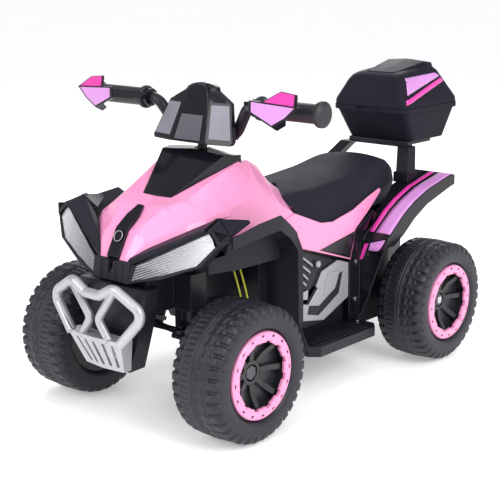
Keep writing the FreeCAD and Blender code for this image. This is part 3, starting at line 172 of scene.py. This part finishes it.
PINK = (0.84, 0.290, 0.520)
PINK_WORN_AND_HIGHLIT = (1.0, 0.62, 0.84)
MAGENTA = (0.72, 0.045, 0.37)
LILAC = (0.60, 0.26, 0.62)
STEEL_WORN_AND_HIGHLIT = (0.5, 0.5, 0.52)
FILM = {"rough": 0.25, "tone": 0.04, "grain_strength": 0.08, "coat": 0.3, "wear_and_highlight": 0.2}
MOULDED_LOOKS = {
    "pink_gloss": dict(colour=PINK, rough=0.28, tone=0.012, grain_strength=0.08, coat=0.25, wear_and_highlight=0.10,
                       worn_and_highlit=PINK_WORN_AND_HIGHLIT),
    "black_gloss": dict(colour=(0.0065, 0.006, 0.010), rough=0.14, grain_strength=0.08, wear_and_highlight=0.4,
                        specular=0.32),
    "black_matte": dict(colour=(0.0100, 0.0092, 0.0150), rough=0.32, grain=900.0, grain_strength=0.35,
                        wear_and_highlight=0.4, specular=0.28),
    "seat_matte": dict(colour=(0.0200, 0.0190, 0.0275), rough=0.60, grain=520.0, grain_depth=0.00015,
                       grain_strength=0.5, wear_and_highlight=0.3, specular=0.05),
    "tyre_black": dict(colour=(0.0170, 0.0162, 0.0235), rough=0.42, grain=800.0, grain_depth=0.0001,
                       grain_strength=0.45, wear_and_highlight=0.5, specular=0.35),
    "silver_paint": dict(colour=(0.44, 0.44, 0.47), rough=0.34, grain=2600.0, grain_strength=0.30,
                         metal=0.55, wear_and_highlight=0.3),
    "steel": dict(colour=(0.62, 0.62, 0.64), rough=0.28, grain=1800.0, metal=1.0, wear_and_highlight=0.4),
    "black_steel": dict(colour=(0.020, 0.020, 0.023), rough=0.34, grain=1500.0, grain_strength=0.4, wear_and_highlight=0.5),
    "grip_rubber": dict(colour=(0.016, 0.016, 0.020), rough=0.50, grain=620.0, grain_depth=0.0002,
                        grain_strength=0.6),
    "reflector": dict(colour=(0.92, 0.92, 0.94), rough=0.20, grain=300.0, metal=0.6, wear_and_highlight=0.1),
    "red_plastic": dict(colour=(0.60, 0.02, 0.02), rough=0.30),
    "battery_case": dict(colour=(0.03, 0.03, 0.033), rough=0.45),
    "cream_plastic": dict(colour=(0.70, 0.62, 0.45), rough=0.40),
    "lead_yellow": dict(colour=(0.52, 0.55, 0.04), rough=0.40),
    "magenta_film": dict(colour=MAGENTA, **FILM),
    "lilac_film": dict(colour=LILAC, **FILM),
    "rim_black": dict(colour=(0.020, 0.020, 0.024), rough=0.30, wear_and_highlight=0.5),
    "panel_grey": dict(colour=(0.085, 0.084, 0.10), rough=0.30, grain=900.0, grain_strength=0.2, wear_and_highlight=0.2),
    "box_black": dict(colour=(0.0140, 0.0130, 0.0205), rough=0.48, grain=900.0, grain_strength=0.3,
                      wear_and_highlight=0.4, specular=0.065),
    "mask_black": dict(colour=(0.0165, 0.0155, 0.0230), rough=0.42, grain=900.0, grain_strength=0.35,
                       wear_and_highlight=0.4, specular=0.16),
    "dark_steel": dict(colour=(0.11, 0.11, 0.12), rough=0.30, grain=1800.0, metal=0.9, wear_and_highlight=0.6,
                       worn_and_highlit=STEEL_WORN_AND_HIGHLIT),
    # Black print film, also used as painted shade in the slots of the wheel rings.
    "black_film_and_shade": dict(colour=(0.006, 0.006, 0.008), rough=0.22, grain_strength=0.08, wear_and_highlight=0.2),
    # Painted reflection: pale silver sheet for the screen's side facet.
    "screen_reflection_paint": dict(colour=(0.20, 0.195, 0.23), rough=0.34, grain=2400.0, grain_strength=0.2,
                        coat=0.15, specular=0.3),
}
looks = {name: moulded(name, **values).material for name, values in MOULDED_LOOKS.items()}

LENS_CLEAR_X = 0.055
LENS_FROST_AND_GLARE_X = 0.125
LENS_GLARE_X = 0.142
LENS_GLARE_BLEND = 0.015
RIB_TILT = -0.42
RIB_PITCH = 1900.0
# Rib colours are painted shade and painted highlight; the outer colours are frosting with a painted glare over it.
RIB_SHADE, RIB_HIGHLIGHT = (0.06, 0.06, 0.075), (0.55, 0.56, 0.60)
FROST_AND_GLARE, GLARE = (0.72, 0.72, 0.75), (0.97, 0.97, 0.99)
LENS_IOR, LENS_THROUGH, LENS_COAT = 1.46, 0.62, 0.6


def clear_lens():
    """Ribbed and dark beside the nose, with painted shade and painted highlights in stripes along the ribs,
    turning outwards to bright frosting and a painted glare that is brightest at the outer end.
    """
    s = Shade("clear_lens")
    apart = s.add("SeparateXYZ", {"Vector": s.place})
    out = s.math("ABSOLUTE", apart.outputs["X"])
    height = s.math("ADD", apart.outputs["Z"], s.math("MULTIPLY", out, RIB_TILT))
    ribs = s.math("SINE", s.math("MULTIPLY", height, RIB_PITCH))
    # Painted shade and painted highlights in stripes that follow the ribs.
    rib_shade_and_highlight = s.mix(s.fit(ribs, -0.6, 0.6), rgb(RIB_SHADE), rgb(RIB_HIGHLIGHT))
    # Painted glare over the frosting, growing towards the outer end.
    glare = s.fit(out, LENS_FROST_AND_GLARE_X - LENS_GLARE_BLEND, LENS_GLARE_X)
    frost_and_glare = s.mix(glare, rgb(FROST_AND_GLARE), rgb(GLARE))
    s.set(Base_Color=s.mix(s.fit(out, LENS_CLEAR_X, LENS_FROST_AND_GLARE_X), rib_shade_and_highlight, frost_and_glare))
    s.set(Roughness=s.fit(s.noise(60.0), 0.3, 0.7, 0.04, 0.10))
    s.set(Normal=s.bump(ribs, 0.35, 0.0005))
    s.set(IOR=LENS_IOR, Transmission_Weight=LENS_THROUGH, Coat_Weight=LENS_COAT)
    return s.material


COVER_LIGHT, COVER_DARK = (0.36, 0.36, 0.39), (0.018, 0.018, 0.022)
COVER_SPLIT = 0.0948
SPLIT_BLEND = 0.0002


def two_tone_cover():
    """Side cover painted light on what stands out past the split, dark below it."""
    s = moulded("grey_plastic", COVER_LIGHT, 0.34, grain=1500.0, grain_strength=0.30, metal=0.35, wear_and_highlight=0.3)
    painted = s.shader.inputs["Base Color"].links[0].from_socket
    out = s.math("ABSOLUTE", s.add("SeparateXYZ", {"Vector": s.place}).outputs["X"])
    light = s.fit(out, COVER_SPLIT - SPLIT_BLEND, COVER_SPLIT + SPLIT_BLEND)
    s.set(Base_Color=s.mix(light, rgb(COVER_DARK), painted))
    return s.material


looks["clear_lens"] = clear_lens()
looks["grey_plastic"] = two_tone_cover()

# CAD nodes keep their shape; their edges get a small moulded radius, in mm, and their look.
ROUNDING = {
    "pink_gloss": 1.6, "black_gloss": 1.0, "black_matte": 1.0, "seat_matte": 2.5, "silver_paint": 0.9,
    "grey_plastic": 0.8, "grip_rubber": 0.8, "steel": 0.4, "black_steel": 0.6, "reflector": 0.4,
    "clear_lens": 0.5,
}
PLAIN_ROUNDING = 0.5
NODE_ROUNDING = {
    "dash_panel": 0.3, "nose_emblem": 0.2, "nose_strip": 0.5, "handguard_left": 0.6, "handguard_right": 0.6,
}
NODE_LOOK = {
    "axle_bolt_left": "dark_steel", "axle_bolt_right": "dark_steel", "rear_axle_nuts": "dark_steel",
    "nose_emblem": "black_gloss", "dash_panel": "panel_grey", "trunk_lid": "box_black",
    "trunk_box": "box_black", "front_mask": "mask_black", "front_fender_left": "mask_black",
    "front_fender_right": "mask_black",
}
AXLES = {"front": -272.0, "rear": 189.0}
WHEELS = [(end, side) for end in AXLES for side in SIDES]
for end, side in WHEELS:
    NODE_ROUNDING[f"{end}_ring_{side}"] = 0.35
    NODE_ROUNDING[f"{end}_rim_{side}"] = 0.7
    NODE_LOOK[f"{end}_rim_{side}"] = "rim_black"
CREASE = 28.0
SOFT_CREASE = {"body_shell": 46.0, "rear_fender_left": 40.0, "rear_fender_right": 40.0, "front_mask": 36.0}
CREASE_WEIGHT, SOFT_WEIGHT = 80, 50
WELD_DISTANCE = 2e-5
FLAT_ANGLE = 0.6
ROUND_SEGMENTS = 3


def dress(obj, look, width, crease):
    mesh = obj.data
    if "custom_normal" in mesh.attributes:
        mesh.attributes.remove(mesh.attributes["custom_normal"])
    mesh.materials.clear()
    mesh.materials.append(looks[look])
    mesh.shade_smooth()
    weld = obj.modifiers.new("weld", "WELD")
    weld.merge_threshold = WELD_DISTANCE
    flat = obj.modifiers.new("flat", "DECIMATE")
    flat.decimate_type = "DISSOLVE"
    flat.angle_limit = math.radians(FLAT_ANGLE)
    bevel = obj.modifiers.new("round", "BEVEL")
    bevel.limit_method = "ANGLE"
    bevel.angle_limit = math.radians(crease)
    bevel.width = width * MM
    bevel.segments = ROUND_SEGMENTS
    bevel.use_clamp_overlap = False
    bevel.miter_outer = "MITER_ARC"
    even = obj.modifiers.new("even", "WEIGHTED_NORMAL")
    even.keep_sharp = False
    even.weight = CREASE_WEIGHT if crease == CREASE else SOFT_WEIGHT


for name, obj in nodes.items():
    width = NODE_ROUNDING.get(name, ROUNDING.get(slot_of[name], PLAIN_ROUNDING))
    dress(obj, NODE_LOOK.get(name, slot_of[name]), width, SOFT_CREASE.get(name, CREASE))

# The lamp housings are bright in the bowl and black on the outside.
BOWL_X, BOWL_Z = 0.0953, 0.2453
OUTSIDE = 0.002
for side, sign in SIDES.items():
    housing = nodes[f"lamp_housing_{side}"].data
    housing.materials.append(looks["black_matte"])
    for face in housing.polygons:
        away_x, away_z = sign * face.center.x - BOWL_X, face.center.z - BOWL_Z
        if sign * face.normal.x * away_x + face.normal.z * away_z > OUTSIDE:
            face.material_index = 1


def piece(name, verts, faces, look, body, smooth=True, stand_for=()):
    mesh = bpy.data.meshes.new(name)
    mesh.from_pydata([tuple(v) for v in verts], [], faces)
    mesh.update()
    if smooth:
        mesh.shade_smooth()
    mesh.materials.append(looks[look])
    obj = bpy.data.objects.new(name, mesh)
    scene.collection.objects.link(obj)
    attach(obj, body)
    if stand_for:
        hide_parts(*stand_for)
    return obj


def wrapped_faces(rows, cols, base=0, flip=False):
    """Faces of a grid of points that closes on itself both ways."""
    faces = []
    for row in range(rows):
        here, there = base + row * cols, base + (row + 1) % rows * cols
        for col in range(cols):
            after = (col + 1) % cols
            ring = (here + col, here + after, there + after, there + col)
            faces.append(ring[::-1] if flip else ring)
    return faces


# Tyres: moulded tread with seam ribs, cross ribs, blocks and shoulder lugs. All in mm, with x
# measured outwards from the tyre's inner wall.
TYRE_IN = 110.0
TYRE_W = 83.0
WHEEL_R = 95.0
AXLE_Z = 95.0
LUGS = 36
STEPS_PER_LUG = 14
INNER_WALL = ((6.0, 61.3, 0.0), (3.2, 64.0, 0.0), (1.4, 67.0, 0.0), (0.5, 71.0, 0.0), (0.1, 76.0, 0.0),
              (0.4, 80.0, 0.1))
OUTER_WALL = ((6.0, 61.3, 0.0), (2.6, 64.0, 0.0), (0.8, 67.0, 0.0), (0.4, 71.0, 0.0), (0.2, 76.0, 0.0),
              (0.4, 80.0, 0.1))
SHOULDER_X, SHOULDER_R = 12.5, 82.5
SHOULDER_WIDE, SHOULDER_TALL = 12.0, 11.5
SHOULDER_FROM, SHOULDER_SWEEP, SHOULDER_STEPS = 8, 70, 4
CROWN_IN = 13.0
CROWN_STEPS = 46
CROWN_DROP, CROWN_BULGE = 0.8, 0.9
# Bands of the pattern as (low, high, softness), across the tyre or across one lug's share of a turn.
LUG_EDGE = (15.0, 18.0)
LUG_SPAN, LUG_DEPTH = (0.16, 0.84, 0.07), 4.2
SEAM_RIBS, SEAM_RISE = ((38.6, 40.2, 0.35), (42.8, 44.4, 0.35)), 0.9
SEAM_GROOVE, SEAM_DEPTH = (40.6, 42.4, 0.35), 1.6
EDGE_RIBS, EDGE_RISE = ((18.4, 20.0, 0.4), (35.0, 36.4, 0.4)), 0.7
CROSS_BAND, CROSS_SPAN = (20.8, 34.4, 0.5), (0.25, 0.75, 0.12)
CROSS_RISE, CROSS_SINK = 1.5, 0.9
BLOCK_BAND, BLOCK_DEPTH = (46.6, 64.0, 0.5), 1.5
WEB_RIB, WEB_SPAN, WEB_ACROSS = (52.8, 57.8, 0.6), (0.30, 0.70, 0.06), (47.8, 63.0, 0.6)
WEB_BAND, WEB_RISE = (47.2, 63.4, 0.4), 1.7


def smooth_step(low, high, value):
    t = max(0.0, min(1.0, (value - low) / (high - low)))
    return t * t * (3 - 2 * t)


def pulse(value, low, high, soft):
    return smooth_step(low - soft, low + soft, value) * (1 - smooth_step(high - soft, high + soft, value))


def tyre_section():
    """(x, r, tread) round the section; tread is 1 where the pattern lies."""
    shoulder = []
    for k in range(SHOULDER_STEPS + 1):
        turn = math.radians(SHOULDER_FROM + SHOULDER_SWEEP * k / SHOULDER_STEPS)
        shoulder.append((SHOULDER_X - SHOULDER_WIDE * math.cos(turn),
                         SHOULDER_R + SHOULDER_TALL * math.sin(turn), 1.0))
    crown = []
    for k in range(CROWN_STEPS + 1):
        x = CROWN_IN + (TYRE_W - 2 * CROWN_IN) * k / CROWN_STEPS
        bulge = (x - TYRE_W / 2) / (TYRE_W / 2 - CROWN_IN)
        crown.append((x, WHEEL_R - CROWN_DROP - CROWN_BULGE * bulge * bulge, 1.0))
    far_side = [(TYRE_W - x, r, tread) for x, r, tread in reversed([*OUTER_WALL, *shoulder])]
    return [*INNER_WALL, *shoulder, *crown, *far_side]


def tread_height(x, cell):
    """Millimetres above the carcass at this place; cell is 0 to 1 across one shoulder lug."""
    shoulder = 1 - smooth_step(*LUG_EDGE, min(x, TYRE_W - x))
    lugs = -LUG_DEPTH * shoulder * (1 - pulse(cell, *LUG_SPAN))
    seam = SEAM_RISE * sum(pulse(x, *rib) for rib in SEAM_RIBS) - SEAM_DEPTH * pulse(x, *SEAM_GROOVE)
    ribs = EDGE_RISE * sum(pulse(x, *rib) for rib in EDGE_RIBS)
    ribs += (CROSS_RISE * pulse((cell * 2) % 1.0, *CROSS_SPAN) - CROSS_SINK) * pulse(x, *CROSS_BAND)
    web = min(1.0, pulse(x, *WEB_RIB) + pulse(cell, *WEB_SPAN) * pulse(x, *WEB_ACROSS))
    blocks = WEB_RISE * web * pulse(x, *WEB_BAND) - BLOCK_DEPTH * pulse(x, *BLOCK_BAND)
    return lugs + seam + ribs + blocks


def on_wheel(sign, end, x, r, turn, aside=0.0):
    """Point at this depth, radius and turn, moved aside along the rim."""
    y = r * math.sin(turn) + aside * math.cos(turn)
    z = r * math.cos(turn) - aside * math.sin(turn)
    return at(sign * x, AXLES[end] + y, AXLE_Z + z)


def make_tyre(end, side):
    sign = SIDES[side]
    section = tyre_section()
    turns = LUGS * STEPS_PER_LUG
    verts = []
    for k in range(turns):
        turn = 2 * math.pi * k / turns
        cell = (k % STEPS_PER_LUG) / STEPS_PER_LUG
        verts += [on_wheel(sign, end, TYRE_IN + x, r + tread * tread_height(x, cell), turn)
                  for x, r, tread in section]
    faces = wrapped_faces(turns, len(section), flip=sign > 0)
    node = f"{end}_tyre_{side}"
    piece(f"tread_{end}_{side}", verts, faces, "tyre_black", f"{end}_wheel_{side}",
          stand_for=[node])


for end, side in WHEELS:
    make_tyre(end, side)

# Star plate in the dish of each wheel, and painted shade: dark blocks that fill the slots of its ring. Sections
# are (x, r).
SPOKES = 8
SPOKE_HALF = 4.2
SPOKE_SIDE = ((164.5, 16.8), (172.0, 16.8), (174.0, 30.0), (182.5, 45.0), (182.5, 50.6), (172.5, 51.2))
PLATE_SECTION = ((166.0, 17.2), (174.0, 51.3), (172.0, 51.3), (164.0, 17.2))
PLATE_STEPS = 96
STAR_ROUNDING = 0.8
SHADED_SLOTS = 16
SLOT_SHADE_R = 54.5
SLOT_SHADE_FOOT, SLOT_SHADE_FACE = 187.3, 191.0
SLOT_SHADE_WIDE, SLOT_SHADE_TALL = 2.4, 1.25
SLOT_SHADE_CORNERS = ((-SLOT_SHADE_WIDE, -SLOT_SHADE_TALL), (SLOT_SHADE_WIDE, -SLOT_SHADE_TALL), (SLOT_SHADE_WIDE, SLOT_SHADE_TALL),
                (-SLOT_SHADE_WIDE, SLOT_SHADE_TALL))


def add_prism(verts, faces, low_ring, high_ring, outward):
    """Closed prism between two rings of points, listed the same way round."""
    base, count = len(verts), len(low_ring)
    verts += low_ring + high_ring
    rings = [tuple(range(count - 1, -1, -1)), tuple(range(count, 2 * count))]
    rings += [(i, (i + 1) % count, count + (i + 1) % count, count + i) for i in range(count)]
    faces += [tuple(base + i for i in (ring if outward else ring[::-1])) for ring in rings]


def make_star(end, side):
    sign = SIDES[side]
    verts, faces = [], []
    for k in range(SPOKES):
        turn = 2 * math.pi * k / SPOKES
        low, high = [[on_wheel(sign, end, x, r, turn, half) for x, r in SPOKE_SIDE]
                     for half in (-SPOKE_HALF, SPOKE_HALF)]
        add_prism(verts, faces, low, high, sign > 0)
    faces += wrapped_faces(PLATE_STEPS, len(PLATE_SECTION), len(verts), flip=sign > 0)
    for k in range(PLATE_STEPS):
        verts += [on_wheel(sign, end, x, r, 2 * math.pi * k / PLATE_STEPS) for x, r in PLATE_SECTION]
    star = piece(f"star_{end}_{side}", verts, faces, "rim_black", f"{end}_wheel_{side}")
    bevel = star.modifiers.new("round", "BEVEL")
    bevel.width = STAR_ROUNDING * MM
    bevel.segments = ROUND_SEGMENTS
    even = star.modifiers.new("even", "WEIGHTED_NORMAL")
    even.keep_sharp = False


# Painted shade: dark blocks filling the slots in the wheel's ring.
def make_slot_shade(end, side):
    sign = SIDES[side]
    verts, faces = [], []
    for k in range(SHADED_SLOTS):
        turn = 2 * math.pi * k / SHADED_SLOTS
        low, high = [[on_wheel(sign, end, x, SLOT_SHADE_R + up, turn, aside) for aside, up in SLOT_SHADE_CORNERS]
                     for x in (SLOT_SHADE_FOOT, SLOT_SHADE_FACE)]
        add_prism(verts, faces, low, high, sign < 0)
    piece(f"ring_slot_shade_{end}_{side}", verts, faces, "black_film_and_shade", f"{end}_wheel_{side}", smooth=False)


for end, side in WHEELS:
    make_star(end, side)
    make_slot_shade(end, side)

# Lamp leads in the left wheel arch, on the routes of their solids, from the lamp housing to the tub.
LEAD_R = 1.3
LEADS = ((78.0, 0.0, 0.213), (82.0, 9.0, 0.214))  # x, how far back the route hangs, length in metres
LEAD_ROUTE = ((0, -252, 0, 252), (0, -175, 1, 246), (0, -142, 1, 160), (-4, -132, 1, 120),
              (-4, -112.2, 0, 120))  # x from the lead's own, y, share of how far back it hangs, z


def make_lead(name, x, back):
    curve = bpy.data.curves.new(name, "CURVE")
    curve.dimensions = "3D"
    curve.bevel_depth = LEAD_R * MM
    curve.bevel_resolution = 4
    spline = curve.splines.new("NURBS")
    spline.points.add(len(LEAD_ROUTE) - 1)
    for point, (aside, y, share, z) in zip(spline.points, LEAD_ROUTE):
        point.co = (*at(x + aside, y + share * back - SHIFT, z), 1.0)
    spline.order_u = 3
    spline.use_endpoint_u = True
    spline.resolution_u = 16
    curve.materials.append(looks["lead_yellow"])
    lead = bpy.data.objects.new(name, curve)
    scene.collection.objects.link(lead)
    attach(lead, "chassis")
    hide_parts("lamp_leads")


for k, (x, back, length) in enumerate(LEADS):
    make_lead(f"lamp_lead_{k + 1}", x, back)

# Bare silver ring round the nose emblem.
EMBLEM_PLACE = at(0.0, -344.15, 267.0)
EMBLEM_OUT = Vector((0.0, -0.8866, 0.4625))
EMBLEM_UP = Vector((0.0, 0.4625, 0.8866))
EMBLEM_ASIDE = Vector((1.0, 0.0, 0.0))
EMBLEM_RING_R = 7.3 * MM
EMBLEM_WIRE_R = 0.55 * MM
RING_STEPS, WIRE_STEPS = 48, 10


def make_emblem_ring():
    verts = []
    for j in range(WIRE_STEPS):
        bend = 2 * math.pi * j / WIRE_STEPS
        reach = EMBLEM_RING_R + EMBLEM_WIRE_R * math.cos(bend)
        rise = EMBLEM_OUT * EMBLEM_WIRE_R * math.sin(bend)
        for k in range(RING_STEPS):
            turn = 2 * math.pi * k / RING_STEPS
            spoke = EMBLEM_ASIDE * math.cos(turn) + EMBLEM_UP * math.sin(turn)
            verts.append(EMBLEM_PLACE + spoke * reach + rise)
    piece("emblem_ring", verts, wrapped_faces(WIRE_STEPS, RING_STEPS), "silver_paint", "chassis")


make_emblem_ring()

# Printed film on the fenders, lid, side panels and handguards, and a painted reflection on the screen's side
# facet, laid on the solid below it.
FILM_LIFT = 0.00035
FILM_THICK = 0.0003
CAST_BACK, CAST_REACH = 0.01, 0.2


def thicken(obj):
    thick = obj.modifiers.new("thick", "SOLIDIFY")
    thick.thickness = FILM_THICK
    thick.offset = -1.0


def film(name, node, body, look, edge_a, edge_b, toward, rows, cols, flip):
    """Strip between two edges, dropped along toward on to the node."""
    mesh = nodes[node].data
    skin = BVHTree.FromPolygons([v.co.copy() for v in mesh.vertices],
                                [tuple(p.vertices) for p in mesh.polygons])
    toward = Vector(toward)
    verts, faces = [], []
    for i in range(rows + 1):
        a, b = [first.lerp(last, i / rows) for first, last in (edge_a, edge_b)]
        for j in range(cols + 1):
            start = a.lerp(b, j / cols)
            hit = skin.ray_cast(start - toward * CAST_BACK, toward, CAST_REACH)[0]
            verts.append((hit or start) - toward * FILM_LIFT)
    for i in range(rows):
        for j in range(cols):
            k = i * (cols + 1) + j
            ring = (k, k + 1, k + cols + 2, k + cols + 1)
            faces.append(ring[::-1] if flip else ring)
    thicken(piece(name, verts, faces, look, body))


def plate(name, corners, look, body, outward):
    """Flat sheet with this outline: printed film, or the painted reflection on the screen facet."""
    outward = Vector(outward).normalized()
    verts = [c + outward * FILM_LIFT for c in corners]
    normal = (verts[1] - verts[0]).cross(verts[2] - verts[1])
    ring = tuple(range(len(verts)))
    faces = [ring if normal.dot(outward) > 0 else ring[::-1]]
    thicken(piece(name, verts, faces, look, body, smooth=False))


# Edges of the films in mm: (x, y) on the deck, (x, z) on the fender's front, (y, z) on lid and panel.
DECK_Z = 300
DECK_GRID = (40, 4)
DECK_FILMS = {
    "magenta": (((99.5, 93), (99.5, 262)), ((108.0, 93), (108.0, 264))),
    "lilac": (((112.0, 93), (116.5, 266)), ((138.3, 93), (138.8, 268))),
}
FRONT_Y = 60.0
FRONT_GRID = (30, 30)
FRONT_FILMS = {
    "magenta": (((103.5, 197.0), (110.0, 198.4)), ((96.0, 171.0), (101.0, 172.0))),
    "lilac": (((113.0, 199.0), (136.5, 206.5)), ((109.0, 180.0), (131.0, 191.0))),
}
LID_X = 75
LID_ROWS = 24
LID_FILMS = {
    "lilac": (((251.0, 435.45), (336.8, 439.2)), ((239.0, 408.96), (346.9, 433.4)), 6),
    "magenta": (((232.5, 401.3), (347.9, 430.4)), ((230.1, 393.7), (357.3, 425.3)), 3),
}
PANEL_X = 104
PANEL_GRID = (16, 8)
PANEL_UPPER, PANEL_LOWER = ((-34.5, 206), (54.1, 220.5)), ((-34.5, 206), (43.3, 179.7))
SCREEN_FACET = ((37.0, -164.6, 384.5), (72.0, -158.4, 384.5), (56.5, -142.9, 429.0), (29.0, -148.8, 429.0))
# Outlines on the handguards: (x, z) on the front face, (x, y) on the sloping top.
GUARD_FRONT = ((134, 445), (202, 441.5), (187, 428), (167, 417), (134, 432))
GUARD_TOP = ((154, -186.2), (201, -183.2), (192, -169.8), (169, -169.8))
GUARD_FRONT_X, GUARD_FRONT_Y, GUARD_SWEEP = 130.0, -188.0, 0.064
GUARD_TOP_X, GUARD_TOP_Y, GUARD_TOP_Z = 150.0, -186.5, 446.0
GUARD_FALL, GUARD_CLIMB = 0.103, 0.856


def guard_front_y(x):
    return GUARD_FRONT_Y + GUARD_SWEEP * (x - GUARD_FRONT_X) - SHIFT


def guard_top_z(x, y):
    return GUARD_TOP_Z - GUARD_FALL * (x - GUARD_TOP_X) + GUARD_CLIMB * (y - GUARD_TOP_Y)


def lay_films_and_reflection(side, sign):
    def here(x, y, z):
        return at(sign * x, y, z)

    left = sign > 0
    fender = f"rear_fender_{side}"
    inwards = (-sign, 0, 0)
    for name, edges in DECK_FILMS.items():
        edge_a, edge_b = [[here(x, y, DECK_Z) for x, y in edge] for edge in edges]
        film(f"{name}_film_{side}", fender, "chassis", f"{name}_film", edge_a, edge_b, (0, 0, -1), *DECK_GRID,
             not left)
    for name, edges in FRONT_FILMS.items():
        edge_a, edge_b = [[here(x, FRONT_Y, z) for x, z in edge] for edge in edges]
        film(f"{name}_low_film_{side}", fender, "chassis", f"{name}_film", edge_a, edge_b, (0, 1, 0),
             *FRONT_GRID, not left)
    for name, (*edges, cols) in LID_FILMS.items():
        edge_a, edge_b = [[here(LID_X, y, z) for y, z in edge] for edge in edges]
        film(f"lid_{name}_film_{side}", "trunk_lid", "lid", f"{name}_film", edge_a, edge_b, inwards,
             LID_ROWS, cols, not left)
    edge_a, edge_b = [[here(PANEL_X, y, z) for y, z in edge] for edge in (PANEL_UPPER, PANEL_LOWER)]
    film(f"panel_film_{side}", "body_shell", "chassis", "black_film_and_shade", edge_a, edge_b, inwards, *PANEL_GRID,
         left)

    # Painted reflection: a silver sheet on the side facet of the screen, where a softbox reflects.
    facet = [here(x, y - SHIFT, z) for x, y, z in SCREEN_FACET]
    facet_out = (facet[1] - facet[0]).cross(facet[2] - facet[1])
    if facet_out.y > 0:
        facet_out.negate()
    plate(f"screen_facet_reflection_{side}", facet, "screen_reflection_paint", "steering", facet_out)
    front = [here(x, guard_front_y(x), z) for x, z in GUARD_FRONT]
    top = [here(x, y - SHIFT, guard_top_z(x, y)) for x, y in GUARD_TOP]
    plate(f"guard_lilac_film_{side}", front, "lilac_film", "steering", (sign * GUARD_SWEEP, -1, 0))
    plate(f"guard_magenta_film_{side}", top, "magenta_film", "steering", (sign * GUARD_FALL, -GUARD_CLIMB, 1))


for side, sign in SIDES.items():
    lay_films_and_reflection(side, sign)

# Plain pale floor and soft studio light.
FLOOR_HALF = 40.0
FLOOR_Z = -0.0005
FLOOR_TONES = (0.93, 0.93, 0.93), (0.96, 0.96, 0.96)
FLOOR_ROUGH = 0.7
FLOOR_GLOW = 0.30
WHITE = (1.0, 1.0, 1.0)
floor_mesh = bpy.data.meshes.new("floor")
builder = bmesh.new()
bmesh.ops.create_grid(builder, x_segments=2, y_segments=2, size=FLOOR_HALF)
builder.to_mesh(floor_mesh)
builder.free()
floor = bpy.data.objects.new("floor", floor_mesh)
floor.location.z = FLOOR_Z
scene.collection.objects.link(floor)
paper = Shade("floor_paper")
paper.set(Base_Color=paper.mix(paper.noise(3.0, 2.0), *[rgb(tone) for tone in FLOOR_TONES]), Roughness=FLOOR_ROUGH)
paper.set(Emission_Color=rgb(WHITE), Emission_Strength=FLOOR_GLOW)
floor_mesh.materials.append(paper.material)

SKY_STOPS = ((0.12, WHITE), (0.45, (0.34, 0.34, 0.36)))
SKY_STRENGTH = 1.0
scene.world = bpy.data.worlds.new("studio")
scene.world.use_nodes = True
sky = scene.world.node_tree
height = sky.nodes.new("ShaderNodeSeparateXYZ")
sky.links.new(sky.nodes.new("ShaderNodeTexCoord").outputs["Generated"], height.inputs["Vector"])
glow = sky.nodes.new("ShaderNodeValToRGB")
sky.links.new(height.outputs["Z"], glow.inputs["Fac"])
for stop, (position, colour) in zip(glow.color_ramp.elements, SKY_STOPS):
    stop.position = position
    stop.color = rgb(colour)
sky.links.new(glow.outputs["Color"], sky.nodes["Background"].inputs["Color"])
sky.nodes["Background"].inputs["Strength"].default_value = SKY_STRENGTH

# Each softbox: place, target, side of its square and watts.
SOFTBOXES = {
    "key_box": ((2.2, -0.6, 1.7), (0, 0, 0.2), 1.4, 42.0),
    "front_box": ((-0.6, -2.4, 1.5), (0, -0.2, 0.25), 1.2, 22.0),
    "top_box": ((0.2, 0.1, 2.3), (0, 0, 0.2), 1.8, 4.0),
    "back_box": ((-1.6, 1.8, 1.6), (0, 0.1, 0.3), 1.2, 18.0),
}
SUN_STRENGTH = 1.15
SUN_SPREAD = 75
SUN_TILT = (24, 14)
for name, (place, target, size, power) in SOFTBOXES.items():
    light = bpy.data.lights.new(name, "AREA")
    light.shape = "RECTANGLE"
    light.size, light.size_y = size, size
    light.energy = power
    box = bpy.data.objects.new(name, light)
    box.location = place
    box.rotation_euler = facing(place, target)
    scene.collection.objects.link(box)
sun = bpy.data.objects.new("even_sun", bpy.data.lights.new("even_sun", "SUN"))
sun.data.energy = SUN_STRENGTH
sun.data.angle = math.radians(SUN_SPREAD)
sun.rotation_euler = (*map(math.radians, SUN_TILT), 0)
scene.collection.objects.link(sun)
scene.view_settings.view_transform = "Standard"
